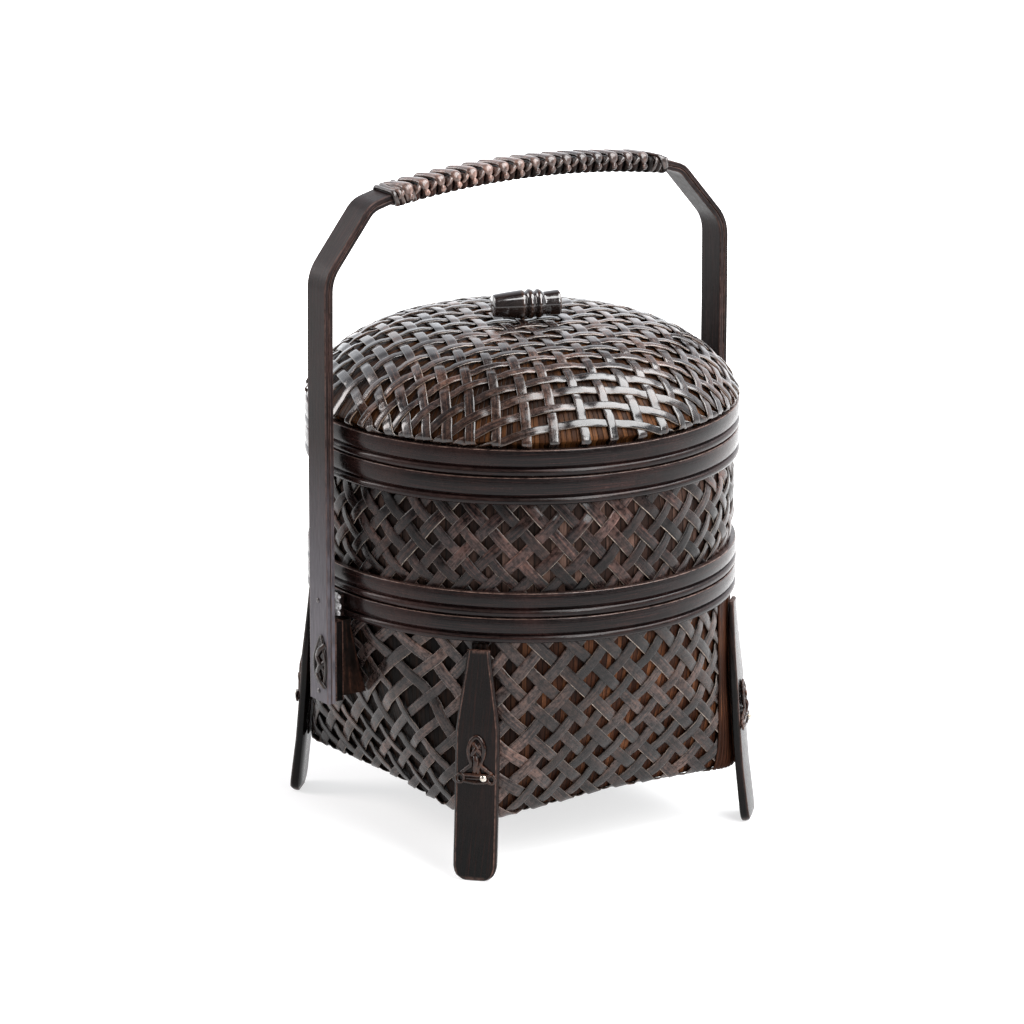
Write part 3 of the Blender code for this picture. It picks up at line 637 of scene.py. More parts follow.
class Lattice:
    """Where the strips of two families lie on a wall. Each table gives a strip number at every
    share (rows) and depth (columns); whole numbers are the middles of strips. Numbers grow by the
    family's count once round. Family A goes with the share as it goes down, B against it."""

    def __init__(self, count, shares, depths, a, b):
        self.count = count
        self.low = shares[0]
        self.shares = np.linspace(shares[0], shares[0] + 1.0, 1201)
        knots = np.append(shares, shares[0] + 1.0)
        self.tables = []
        for table in (a, b):
            t = np.asarray(table, float)
            t = np.vstack([t, t[:1] + count])
            first = t[:, :1] - (t[:, 1:2] - t[:, :1]) / (depths[1] - depths[0]) * 12.0
            last = t[:, -1:] + (t[:, -1:] - t[:, -2:-1]) / (depths[-1] - depths[-2]) * 24.0
            t = np.hstack([first, t, last])
            self.tables.append(np.stack([np.interp(self.shares, knots, c) for c in t.T], 1))
        self.depths = np.concatenate(([depths[0] - 12.0], depths, [depths[-1] + 24.0]))

    def numbers(self, family, down):
        """The strip number at each of self.shares, at one depth."""
        i = float(np.interp(down, self.depths, np.arange(len(self.depths))))
        i0 = min(int(i), len(self.depths) - 2)
        t = self.tables[family]
        return t[:, i0] * (1 - (i - i0)) + t[:, i0 + 1] * (i - i0)

    def strip(self, family, k, down):
        """The shares of strip k at the depths, and how far along its crossings it is there."""
        shares, crossing = [], []
        for d in down:
            own, other = self.numbers(family, d), self.numbers(1 - family, d)
            number = own[0] + (k - own[0]) % self.count
            share = float(np.interp(number, own, self.shares))
            shares.append(share)
            crossing.append(float(np.interp(share, self.shares, other)) - number)
        return np.array(shares), np.array(crossing)


def wall_weave(build, wall, start, stop, lattice, half, seed=0, step=0.95, wander=0.22, parity=0,
               wear_and_highlight=((0.9, 0.25), (0.25, 0.5)), slim=0.0):
    """Two families of diagonal strips, one over the other in turn. Each family's edges are painted paler on one
    side than the other: wear, with a painted highlight on the side the light catches. slim narrows one family on
    the left face."""
    local = np.random.default_rng(seed)
    n = int((stop - start) / step)
    down = np.linspace(start, stop, n)
    for family in (0, 1):
        for k in range(lattice.count):
            share, crossing = lattice.strip(family, k, down)
            drift = wander / 430.0 * (np.sin(down / 23.0 + local.uniform(0, 6.3)) * 0.6
                                      + local.uniform(-0.5, 0.5))
            path, normal = wall.at(share + drift, down)
            sign = 1.0 if family == 0 else -1.0
            lift = MID + sign * LIFT * over_under(crossing + parity)
            path = path + normal * lift[:, None]
            side = unit(np.cross(normal, unit(np.gradient(path, axis=0))))
            roll = np.radians(local.normal(0, 3.6) + 4.6 * np.sin(down / local.uniform(5, 11)
                                                                  + local.uniform(0, 6.3)))
            normal = unit(normal + side * np.tan(roll)[:, None])
            wide = half[family] * local.uniform(0.92, 1.07)
            if share[-1] < share[0]:
                wide = wide * (1 - slim * np.clip((share - 0.385) / 0.03, 0, 1)
                               * np.clip((0.618 - share) / 0.02, 0, 1))
            worn = [edge * local.uniform(0.0, 1.2) ** 1.6 for edge in wear_and_highlight[family]]
            splint(build, path, normal, wide, SPLINT_T, tone=local.beta(1.6, 1.6),
                   seed=local.uniform(0, 50), wear_and_highlight=worn)


# ------------------------------------------------------------------ base basket
def base_wall(inset, under=5.0):
    rings, levels = [], []
    for z in np.concatenate((np.linspace(86.0, 75.0, 5), np.linspace(73.0, 24.0, 26))):
        levels.append((z, 0.0))
    bottom, bend = 21.9, 2.0
    for a in np.linspace(0.15, PI / 2, 7):
        levels.append((bottom - bend * math.sin(a), bend * (1 - math.cos(a))))
    levels.append((bottom - bend, bend + under * 0.5))
    levels.append((bottom - bend, bend + under))
    for z, tuck in levels:
        dip = 2.0 * min(1.0, max(0.0, (36.0 - z) / 14.4))
        ring = base_ring(max(z, 19.0), inset + tuck, dip=dip)
        rings.append(ring)
    return Wall(rings)


wall = base_wall(0.0)
strips = Build()
BASE = Lattice(38, (0.46, 0.53, 0.59, 0.66, 0.75, 0.84), (7.0, 25.0, 45.0, 66.0),
               ((-5.5, -7.19, -8.48, -10.8), (-3.4, -5.05, -6.1, -8.1), (-2.0, -3.7, -4.58, -6.35),
                (0.94, -0.70, -2.57, -4.57), (4.46, 2.78, 0.88, -1.15), (7.95, 6.25, 4.32, 2.25)),
               ((-11.03, -9.48, -7.75, -5.94), (-8.78, -7.13, -5.30, -3.38),
                (-6.85, -5.13, -3.21, -1.19), (-3.66, -2.33, -0.68, 1.23), (-0.18, 1.16, 2.82, 4.73),
                (3.40, 4.75, 6.41, 8.33)))
wall_weave(strips, wall, 1.0, wall.down[-1], BASE, half=(1.86, 1.86), seed=7, slim=0.2)

# the floor: the same strips crossing under the basket
local = np.random.default_rng(3)
for family in (0, 1):
    for k in range(-11, 11):
        c = (k + 0.5) * 9.636
        reach = 106.0 - abs(c) - 5.0
        if reach < 8:
            continue
        t = np.linspace(-reach / 2, reach / 2, max(10, int(reach / 1.0)))
        # the line x - y = c, or x + y = c
        x = t + c / 2
        y = (t - c / 2) if family == 0 else -(t - c / 2)
        crossing = (x + (y if family == 0 else -y)) / 9.636 - 0.5 + k
        inner = np.stack([x, y, 20.1 - 2.0 * np.abs(x * y) / 53.0 ** 2], -1)
        lift = (1.0 if family == 0 else -1.0) * LIFT * over_under(crossing)
        inner[:, 2] -= lift - 0.9
        normal = np.broadcast_to(np.array([0.0, 0.0, -1.0]), inner.shape)
        splint(strips, inner, normal, 1.75 * local.uniform(0.92, 1.06), SPLINT_T,
               tone=local.beta(2, 2), seed=local.uniform(0, 50))
strips.make("base_weave_strips", weave_look, "base", ["base_weave"])


def shell(build, rings, thick_rings, seed=0.0):
    """A closed thin shell from outer levels and matching inner levels."""
    rows = list(rings) + list(thick_rings)[::-1]
    pts = np.array(rows)
    n, m = pts.shape[:2]
    step = np.linalg.norm(np.diff(pts, axis=0), axis=2).mean(1)
    along = np.concatenate(([0.0], np.cumsum(step)))
    grain = np.zeros((n, m, 3))
    grain[..., 0] = along[:, None]
    grain[..., 1] = (np.arange(m) / m * 430.0)[None, :]
    grain[..., 2] = seed
    build.add(pts, ring_faces(n, m), grain, 0.0, 0.5)


def base_liner_rings(inset):
    rings = []
    for z in np.concatenate((np.linspace(85.9, 75.0, 3), np.linspace(70.0, 24.0, 12), (22.4, 21.5))):
        dip = 2.0 * min(1.0, max(0.0, (36.0 - z) / 14.4))
        rings.append(base_ring(z, inset, 240, dip))
    for shrink, low in ((0.5, 0.75), (1.6, 1.25), (4.0, 1.25), (6.0, 1.0), (30.0, 1.0)):
        ring = base_ring(21.6, inset + shrink, 240, 2.0)
        ring[:, 2] -= low - (inset - 1.5)
        rings.append(ring)
    return rings


lined = Build()
shell(lined, base_liner_rings(1.5), base_liner_rings(2.3))
lined.make("base_lining_splints", base_lining, "base", ["base_liner"])


# ------------------------------------------------------------------ tray
def tray_radius(z):
    t = np.clip((z - 94.0) / 8.0, 0, 1) * np.clip((124.0 - z) / 8.0, 0, 1)
    return 68.5 + 1.2 * (t * t * (3 - 2 * t))


def round_wall(radius, levels, count=720):
    a = np.linspace(0, 2 * PI, count, endpoint=False)
    return [np.stack([radius(z) * np.cos(a), radius(z) * np.sin(a), np.full(count, z)], -1)
            for z in levels]


tray_wall = Wall(round_wall(tray_radius, np.linspace(132.0, 87.0, 60)))
strips = Build()
TRAY_AT = (0.54, 0.57, 0.60, 0.63, 0.66, 0.69, 0.72, 0.75, 0.78, 0.81, 0.84)
TRAY_A = (0.46, 1.70, 3.00, 4.37, 5.76, 7.16, 8.57, 9.95, 11.14, 12.22, 13.34)
TRAY_B = (0.31, 1.62, 3.07, 4.51, 5.79, 7.12, 8.45, 9.76, 11.04, 12.32, 13.60)
FALL_A = (0.105, 0.105, 0.1025, 0.096, 0.0935, 0.0925, 0.092, 0.0945, 0.0965, 0.0965, 0.096)
FALL_B = (0.091, 0.092, 0.097, 0.101, 0.099, 0.0945, 0.091, 0.0935, 0.0985, 0.1025, 0.105)
TRAY = Lattice(43, TRAY_AT, (0.0, 45.0),
               [(n + 22.0 * f, n - 23.0 * f) for n, f in zip(TRAY_A, FALL_A)],
               [(n - 22.0 * f, n + 23.0 * f) for n, f in zip(TRAY_B, FALL_B)])
wall_weave(strips, tray_wall, 1.0, tray_wall.down[-1] - 0.5, TRAY, half=(1.74, 1.74), seed=23)
strips.make("tray_weave_strips", tray_look, "tray", ["tray_weave"])

lined = Build()
levels = np.linspace(132.2, 86.8, 24)
shell(lined, round_wall(lambda z: tray_radius(z) - 1.35, levels, 240),
      round_wall(lambda z: tray_radius(z) - 2.1, levels, 240), seed=5.0)
lined.make("tray_lining_splints", tray_lining, "tray", ["tray_liner"])


# ------------------------------------------------------------------ lid
def dome_line():
    """The lid's outline from the middle of its top to inside its hoop: (r, z, nr, nz, run)."""
    points = []
    for t in np.linspace(0, 1, 400):
        a = t * PI / 2
        # dense at both ends
        z = 25.8 * math.cos(a) ** 1.2
        share = 1 - (z / 25.8) ** 1.28
        r = 72.3 * max(0.0, share) ** (1 / 3.6)
        points.append((r, 141.7 + z))
    points = [(0.0, 167.5)] + [p for p in points if p[0] > 0.5]
    low = [p for p in points if p[1] > 144.4]
    r0 = low[-1][0]
    low += [(r0 + 0.25, 143.6), (r0 - 0.2, 142.9), (r0 - 1.1, 142.3), (r0 - 2.2, 141.6),
            (68.6, 140.6), (68.5, 139.0), (68.5, 135.5)]
    pts = np.array(low)
    pts[:, 1] -= 0.95 * np.exp(-(pts[:, 0] / 26.0) ** 2)
    run = np.concatenate(([0.0], np.cumsum(np.hypot(np.diff(pts[:, 0]), np.diff(pts[:, 1])))))
    s = np.linspace(0, run[-1], 500)
    r, z = np.interp(s, run, pts[:, 0]), np.interp(s, run, pts[:, 1])
    for _ in range(6):
        r[1:-1] = (r[:-2] + 2 * r[1:-1] + r[2:]) / 4
        z[1:-1] = (z[:-2] + 2 * z[1:-1] + z[2:]) / 4
    dr, dz = np.gradient(r), np.gradient(z)
    size = np.hypot(dr, dz)
    nr, nz = -dz / size, dr / size
    return r, z, nr, nz, s


DOME = dome_line()
DOME_RUN = DOME[4][-1]


def on_dome(u, v, lift=0.0):
    """A point of the dome at arc distance (u, v) from its top, and its normal."""
    r, z, nr, nz, run = DOME
    rho = np.hypot(u, v)
    ux, uy = u / np.maximum(rho, 1e-6), v / np.maximum(rho, 1e-6)
    pr, pz = np.interp(rho, run, r), np.interp(rho, run, z)
    qr, qz = np.interp(rho, run, nr), np.interp(rho, run, nz)
    normal = unit(np.stack([qr * ux, qr * uy, qz], -1))
    point = np.stack([pr * ux, pr * uy, pz], -1)
    return point + normal * np.broadcast_to(lift, rho.shape)[:, None], normal


LID_TURN = math.radians(-17.5)


def line_places(pitch, squeeze, offset):
    """Where a family's strips lie, either side of the middle, closing up towards the rim."""
    out = []
    for k in range(-16, 17):
        t = (k + offset) * pitch
        out.append((k, math.copysign(abs(t) - squeeze * max(0.0, abs(t) - 27.0), t)))
    return out


LID_V = line_places(7.25, 0.0, 0.0)
LID_H = line_places(7.75, 0.22, 0.0)
LID_SPREAD = 0.16


def lid_lattice(p, q):
    """Lattice coordinates (p along the H strips, q along the V strips) to arc distances."""
    pp = p * (1 + LID_SPREAD * (np.abs(q) / 53.0) ** 3)
    qq = q * (1 + LID_SPREAD * 0.6 * (np.abs(p) / 53.0) ** 3)
    return (pp * math.cos(LID_TURN) - qq * math.sin(LID_TURN),
            pp * math.sin(LID_TURN) + qq * math.cos(LID_TURN))


def lid_strips(build, seed=11):
    local = np.random.default_rng(seed)
    for family, own, other in (("V", LID_V, LID_H), ("H", LID_H, LID_V)):
        marks = np.array([t for _, t in other])
        index = np.array([k for k, _ in other], float)
        for k, at in own:
            if abs(at) > DOME_RUN - (16.5 if family == "V" else 12.6):
                continue
            t = np.linspace(-110, 110, 1500)
            wander = local.uniform(-0.25, 0.25) + 0.3 * np.sin(t / 31.0 + local.uniform(0, 6.3))
            p, q = (at + wander, t) if family == "V" else (t, at + wander)
            u, v = lid_lattice(p + 0 * t, q + 0 * t)
            keep = np.hypot(u, v) < DOME_RUN - 0.5
            if keep.sum() < 60:
                continue
            t, u, v = t[keep][::1], u[keep], v[keep]
            crossing = np.interp(t, marks, index)
            step = max(1, int(round(0.95 / (t[1] - t[0]))))
            pick = np.unique(np.concatenate((np.arange(0, len(t), step), [len(t) - 1])))
            t, u, v, crossing = t[pick], u[pick], v[pick], crossing[pick]
            sign = 1.0 if family == "V" else -1.0
            lift = MID + LIFT * sign * over_under(crossing + k)
            path, normal = on_dome(u, v, lift)
            wide = (1.62 if family == "V" else 1.38) * local.uniform(0.9, 1.08)
            side = unit(np.cross(normal, unit(np.gradient(path, axis=0))))
            roll = np.radians(local.normal(0, 3.2) + 4.0 * np.sin(t / local.uniform(5, 11)
                                                                  + local.uniform(0, 6.3)))
            normal = unit(normal + side * np.tan(roll)[:, None])
            # the strips' edges are painted pale, more on the left: wear, with a painted highlight
            worn = (local.uniform(0.1, 0.9), local.uniform(0.05, 0.6))
            splint(build, path, normal, wide, SPLINT_T, tone=local.beta(1.6, 1.6),
                   seed=local.uniform(0, 50), wear_and_highlight=worn)


strips = Build()
lid_strips(strips)
strips.make("lid_weave_strips", lid_look, "lid", ["lid_weave"])


def dome_rings(depth, count=240):
    r, z, nr, nz, run = DOME
    pick = np.concatenate((np.linspace(8, len(r) - 1, 44).astype(int),))
    a = np.linspace(0, 2 * PI, count, endpoint=False)
    rings = []
    for i in pick[::-1]:
        rr, zz = r[i] - nr[i] * depth, z[i] - nz[i] * depth
        rings.append(np.stack([rr * np.cos(a), rr * np.sin(a), np.full(count, zz)], -1))
    return rings


lined = Build()
shell(lined, dome_rings(1.35), dome_rings(2.15), seed=9.0)
lined.make("lid_lining_splints", lid_lining, "lid", ["lid_liner"])


# ------------------------------------------------------------------ hoops
def hoop(name, body, z0, z1, inner, outer, replaces, seed, bead=1.35, belly=0.26):
    """A split-bamboo hoop: a half-round bead along its foot, a groove above it, then a flat face."""
    face = outer - 0.28
    profile, worn = [(inner, z0 + 0.15), (outer - 1.2, z0)], [0.0, 0.0]
    for t in np.linspace(-75, 78, 10):
        a = math.radians(t)
        profile.append((outer - bead + bead * math.cos(a), z0 + bead + bead * math.sin(a)))
        # the bead's upper side is painted a little paler: a painted highlight where it faces the lamps
        worn.append(0.10 if 20 < t < 60 else 0.0)
    profile += [(face - 0.62, z0 + 2 * bead + 0.12), (face - 0.55, z0 + 2 * bead + 0.35),
                (face - 0.15, z0 + 2 * bead + 0.72)]
    worn += [0.0, 0.0, 0.0]
    low, high = z0 + 2 * bead + 1.0, z1 - 0.55
    for t in np.linspace(0.0, 1.0, 7):
        profile.append((face + belly * math.sin(t * PI), low + (high - low) * t))
        worn.append(0.0)
    profile += [(face - 0.03, z1 - 0.32), (face - 0.09, z1 - 0.18), (face - 0.22, z1 - 0.05),
                (face - 0.42, z1), (inner, z1)]
    worn += [0.0, 0.9, 1.0, 0.25, 0.1]
    build = Build()
    turned(build, profile, 288, edge=worn, seed=seed, wobble=0.03)
    return build.make(name, band_look, body, replaces, hard=50)


hoop("base_rim_hoop", "base", 77.8, 86.1, 68.8, 70.9, ["base_rim_band"], 1.3)
hoop("tray_foot_hoop", "tray", 86.4, 94.5, 68.8, 70.9, ["tray_foot_band"], 4.1)
hoop("tray_rim_hoop", "tray", 123.5, 132.6, 68.8, 71.4, ["tray_rim_band"], 7.7)
hoop("lid_hoop", "lid", 132.9, 141.6, 68.8, 71.4, ["lid_band"], 9.2)


# ------------------------------------------------------------------ bow handle
BOW_X, STRIP_T, STRIP_GAP, STRIP_HALF = 79.0, 1.45, 0.2, 5.4
BOW_T = 2 * STRIP_T + STRIP_GAP


def arch(x):
    return 219.0 - 4.3 * ((np.asarray(x) + 4.0) / 54.0) ** 2


def fillet(before, at, after, radius, steps):
    before, at, after = (np.asarray(p, float) for p in (before, at, after))
    u, v = unit(before - at), unit(after - at)
    half = math.acos(float(np.clip(u @ v, -1, 1))) / 2
    reach = radius / math.tan(half)
    centre = at + unit(u + v) * (radius / math.sin(half))
    start, end = at + u * reach - centre, at + v * reach - centre
    turn = math.acos(float(np.clip(unit(start) @ unit(end), -1, 1)))
    return [centre + (start * math.sin((1 - t) * turn) + end * math.sin(t * turn)) / math.sin(turn)
            for t in np.linspace(0, 1, steps + 1)]


def bow_line():
    """The bow's outer contour (x, z), from the +X leg's end over the top to the -X leg's end."""
    sides = []
    for sign, shoulder in ((1, (60.9, 212.0)), (-1, (61.9, 213.3))):
        foot, knee = (BOW_X, 50.0), (78.8, 191.4)
        grip = (54.4, float(arch(sign * 54.4)))
        side = [np.array((BOW_X, z)) for z in np.linspace(50.0, 165.0, 40)]
        side += fillet(foot, knee, shoulder, 15.0, 14)
        side += fillet(knee, shoulder, grip, 9.0, 12)
        side += [np.array((x, float(arch(sign * x)))) for x in np.linspace(54.4, 1.0, 24)]
        sides.append([np.array((sign * p[0], p[1])) for p in side])
    line = np.array(sides[0] + sides[1][::-1])
    run = np.concatenate(([0.0], np.cumsum(np.linalg.norm(np.diff(line, axis=0), axis=1))))
    want = np.arange(0, run[-1], 1.6)
    want = np.append(want, run[-1])
    return np.stack([np.interp(want, run, line[:, 0]), np.interp(want, run, line[:, 1])], -1)


def bow_offset(line, depth):
    run = unit(np.gradient(line, axis=0))
    inward = np.stack([-run[:, 1], run[:, 0]], -1)
    return line + inward * depth, inward


def bow_strip(name, depth, thick, node, seed):
    line = bow_line()
    middle, inward = bow_offset(line, depth + thick / 2)
    path = np.stack([middle[:, 0], np.zeros(len(line)), middle[:, 1]], -1)
    normal = np.stack([-inward[:, 0], np.zeros(len(line)), -inward[:, 1]], -1)
    wide = np.full(len(line), STRIP_HALF)
    section = slab_section(0.05, 0.2, 2, flats=(0.04, 0.25, 0.5, 0.75, 0.96))
    build = Build()
    splint(build, path, normal, wide, thick, tone=0.5, seed=seed, section=section)
    return build.make(name, bow_look, "base", [node], hard=60)


bow_strip("bow_outer_lamination", 0.0, STRIP_T, "handle_outer_strip", 3.3)
bow_strip("bow_inner_lamination", STRIP_T + STRIP_GAP, STRIP_T, "handle_inner_strip", 6.1)


# ------------------------------------------------------------------ braided grip
def grip_section(t, out):
    """A point round the bow under the grip: t 0..1 from the top's far (+Y) edge over the top to
    its near edge, down the near side, under, and up the far side. Gives (y, height over arch)."""
    half_w, half_h, soft = 5.4 + 0.3 + out, BOW_T / 2 + 0.3 + out, 1.3 + out * 0.6
    flat_w, flat_h = half_w - soft, half_h - soft
    pieces = [("line", 2 * flat_w), ("arc", soft * PI / 2), ("line", 2 * flat_h),
              ("arc", soft * PI / 2), ("line", 2 * flat_w), ("arc", soft * PI / 2),
              ("line", 2 * flat_h), ("arc", soft * PI / 2)]
    total = sum(size for _, size in pieces)
    s = (t % 1.0) * total
    corners = [(-1, 1), (-1, -1), (1, -1), (1, 1)]     # centres of the arcs, y and height
    for i, (kind, size) in enumerate(pieces):
        if s <= size + 1e-9:
            k = i // 2
            if kind == "line":
                f = s / size if size else 0
                ends = [((flat_w, half_h), (-flat_w, half_h)), ((-half_w, flat_h), (-half_w, -flat_h)),
                        ((-flat_w, -half_h), (flat_w, -half_h)), ((half_w, -flat_h), (half_w, flat_h))][k]
                y, z = (ends[0][j] + (ends[1][j] - ends[0][j]) * f for j in (0, 1))
                normal = [(0, 1), (-1, 0), (0, -1), (1, 0)][k]
            else:
                f = s / size * PI / 2 + (0, PI / 2, PI, 3 * PI / 2)[k]
                normal = (-math.sin(f), math.cos(f))
                y = corners[k][0] * flat_w + soft * normal[0]
                z = corners[k][1] * flat_h + soft * normal[1]
            return y, z - BOW_T / 2, normal
        s -= size
    return flat_w, half_h - BOW_T / 2, (0, 1)


def grip_points(t, x, out):
    pts, normals = [], []
    for tt, xx, oo in zip(t, x, np.broadcast_to(out, np.shape(t))):
        y, h, n = grip_section(tt, oo)
        slope = -2 * 4.3 * (xx + 4.0) / 54.0 ** 2
        up = np.array([-slope, 0.0, 1.0]) / math.hypot(slope, 1.0)
        base_point = np.array([xx, 0.0, float(arch(xx))])
        pts.append(base_point + up * h + np.array([0.0, y, 0.0]))
        normals.append(up * n[1] + np.array([0.0, n[0], 0.0]))
    return np.array(pts), np.array(normals)


GRIP = 54.0
PITCH = 6.08
REED = np.array([(math.cos(a), 0.5 * math.sin(a), 0.0) for a in np.linspace(PI, -PI, 15)[:-1]])
strands = Build()
local = np.random.default_rng(5)
# the core under the braid, painted dark as the shade between the strands
core = Build()
xs = np.linspace(-GRIP + 0.6, GRIP - 0.6, 60)
ts = np.linspace(0, 1, 28, endpoint=False)
rows = []
for x in xs:
    rows.append(grip_points(ts, np.full(len(ts), x), 0.02)[0])
rows = np.array(rows)
grain = np.zeros((*rows.shape[:2], 3))
grain[..., 0] = (ts * 33)[None, :]
grain[..., 1] = xs[:, None]
core.add(rows, ring_faces(*rows.shape[:2]), grain, 0.0, 0.0)
core.make("grip_core", shaded_rattan_look, "base", ["handle_grip_wrap"])

turns = int(2 * GRIP / PITCH)
first = -GRIP + (2 * GRIP - turns * PITCH) / 2
# close turns under the braid, down the near side, below and up the far side, painted dark as shade under the
# braid
under = Build()
for k in range(2 * turns + 1):
    t = np.linspace(0.31, 0.985, 30)
    x = np.clip(first + k * PITCH / 2 + 0.9 * np.cos(PI * (t - 0.3) / 0.7), -GRIP + 1.0, GRIP - 1.0)
    pts, normals = grip_points(t, x, 0.05 + 0.5 * np.sin(PI * (t - 0.31) / 0.675) ** 0.4)
    splint(under, pts, normals, 1.12 * local.uniform(0.92, 1.08), 1.25, tone=local.beta(2, 2) * 0.9,
           seed=local.uniform(0, 50), section=CORD)
under.make("grip_under_turns", shaded_rattan_look, "base", ())
for k in range(turns - 1):
    # a crowned strand over the top, narrowing to a bead at the near side
    x0 = first + (k + 0.5) * PITCH
    t = np.linspace(-0.06, 0.392, 34)
    s_ = (t - t[0]) / (t[-1] - t[0])
    x = x0 - 1.3 + 2.1 * s_ + 0.7 * np.sin(PI * s_)
    out = 0.2 + 1.05 * np.sin(PI * np.clip(s_, 0, 1) ** 1.7) ** 0.8
    pts, normals = grip_points(t, x, out)
    wide = np.interp(s_, (0, 0.2, 0.5, 0.78, 0.9, 1.0), (0.8, 1.15, 1.5, 2.0, 1.5, 0.7))
    splint(strands, pts, normals, wide * local.uniform(0.93, 1.07), 1.7,
           tone=local.beta(2, 2) * 0.6 + 0.4, seed=local.uniform(0, 50), section=REED)
    # its second arm, back to the strand before it
    t = np.linspace(0.30, 0.405, 14)
    s_ = (t - t[0]) / (t[-1] - t[0])
    x = x0 + 0.3 - 3.4 * s_ ** 0.8
    pts, normals = grip_points(t, x, 0.45 + 0.35 * np.sin(PI * s_))
    splint(strands, pts, normals, 0.8 - 0.25 * s_, 0.8, tone=local.beta(2, 2) * 0.5 + 0.3,
           seed=local.uniform(0, 50), section=CORD)
    # the bead where both are drawn together, in the lightest tone: a painted highlight
    t = np.linspace(0.378, 0.432, 9)
    s_ = np.linspace(0, 1, 9)
    pts, normals = grip_points(t, x0 + 1.1 + 0.4 * s_, 0.65 + 0.45 * np.sin(PI * s_))
    splint(strands, pts, normals, 0.3 + 0.75 * np.sin(PI * s_) ** 0.6, 1.25, tone=1.0,
           seed=local.uniform(0, 50), section=REED)
# close slanting turns finish the left end, and a long strand laid askew the right one
for k, x0 in enumerate((-GRIP + 1.6, -GRIP + 3.7, -GRIP + 5.8, -GRIP + 7.9)):
    t = np.linspace(-0.2, 0.8, 44, endpoint=False)
    x = np.clip(x0 + 1.4 * np.cos(2 * PI * (t + 0.32)), -GRIP + 1.0, GRIP)
    pts, normals = grip_points(t, x, 0.55 + 0.12 * (k % 2))
    splint(strands, pts, normals, 0.84, 1.0, tone=local.beta(2, 2), seed=local.uniform(0, 50),
           section=CORD, loop=True)
for k, x0 in enumerate((GRIP - 1.3, GRIP - 3.2, GRIP - 5.2)):
    t = np.linspace(-0.2, 0.8, 44, endpoint=False)
    x = np.clip(x0 - 1.6 * np.cos(2 * PI * (t + 0.30)) - 0.8, -GRIP, GRIP - 1.0)
    pts, normals = grip_points(t, x, 0.45)
    splint(strands, pts, normals, 0.78, 0.9, tone=local.beta(2, 2) * 0.6, seed=local.uniform(0, 50),
           section=CORD, loop=True)
t = np.linspace(-0.05, 0.42, 30)
s_ = np.linspace(0, 1, 30)
pts, normals = grip_points(t, GRIP - 11.0 + 9.6 * s_ ** 0.8, 0.75 + 0.4 * np.sin(PI * s_))
splint(strands, pts, normals, 1.25, 0.95, tone=0.6, seed=3.0, section=CORD)
strands.make("grip_braid", rattan_look, "base", ())


# ------------------------------------------------------------------ feet, ribs and lashings
def rib_inner(z):
    return diagonal(z) + 0.35


def foot_inner(z):
    below = max(0.0, 19.0 - z) / 19.0
    return rib_inner(z) + 0.9 + 0.2 + 2.1 * below


def foot_outer(z):
    share = min(1.0, max(0.0, (z - 49.0) / (75.4 - 49.0)))
    below = max(0.0, 19.0 - z) / 19.0
    return (foot_inner(z) + 2.6 + (1.5 - 2.6) * share + (3.0 - 2.6) * below
            - (0.8 * max(0.0, 1 - z / 1.6)))


FOOT_EDGE = [(0.0, 3.9), (0.5, 4.7), (1.6, 6.0), (3.0, 6.7), (4.6, 7.05), (8.0, 7.1), (49.0, 7.1),
             (55.0, 6.4), (62.5, 5.3), (70.0, 4.25), (75.4, 3.6)]


def spin(points, turn):
    a = math.radians(turn)
    c, s = math.cos(a), math.sin(a)
    p = np.asarray(points, float)
    return np.stack([p[..., 0] * c - p[..., 1] * s, p[..., 0] * s + p[..., 1] * c, p[..., 2]], -1)


def foot_slat(build, turn, seed):
    levels = np.concatenate(([0.0, 0.4, 1.0, 1.8, 3.0, 4.6], np.linspace(6.0, 73.0, 56), [74.3, 75.0, 75.4]))
    rows, grains, edges = [], [], []
    for i, z in enumerate(levels):
        half = float(np.interp(z, [e[0] for e in FOOT_EDGE], [e[1] for e in FOOT_EDGE]))
        near, far = foot_inner(z), foot_outer(z)
        soft = 0.42
        if i == 0 or i == len(levels) - 1:
            soft = 0.6
        top = 0.6 if z > 74.6 or z < 1.5 else 0.0
        ring, g, e = [], [], []
        side = ((near, -half + 0.3, top), (near, 0.0, top), (near, half - 0.3, top),
                (near + 0.3, half, top), (far - 0.95, half, top), (far - 0.72, half - 0.10, top),
                (far - 0.20, half - 0.62, 0.2), (far - 0.08, half - 0.76, 1.0),
                (far, half - 0.92, 0.9), (far + 0.01, half - 1.06, 0.0),
                (far + 0.10, half * 0.5, top), (far + 0.16, 0.0, top))
        mirror = [(x, -y, w) for x, y, w in side[4:11]][::-1] + [(near + 0.3, -half, top)]
        for x, y, w in list(side) + mirror:
            if i == 0:
                x = near + (x - near) * 0.8
            ring.append((x, y, z))
            g.append((z, y + x * 0.7, seed))
            e.append(w)
        rows.append(ring)
        grains.append(g)
        edges.append(e)
    rows = spin(np.array(rows), turn)
    build.add(rows, ring_faces(*rows.shape[:2]), np.array(grains), np.array(edges).ravel(), 0.45)


def rib_strips(build, turn, seed):
    """Fine splints down the corner of the wall, side by side behind the foot."""
    for k, side in enumerate((-1.75, 0.0, 1.75)):
        z = np.linspace(19.9, 77.2, 48)
        r = np.array([rib_inner(v) + 0.42 for v in z])
        path = spin(np.stack([r, np.full(len(z), side) + 0.15 * np.sin(z / 9 + k + seed), z], -1), turn)
        normal = spin(np.broadcast_to(np.array([1.0, 0.0, 0.0]), path.shape), turn)
        splint(build, path, normal, 0.84, 0.62, tone=0.3 + 0.25 * ((k + int(seed)) % 3),
               seed=seed + k * 3)


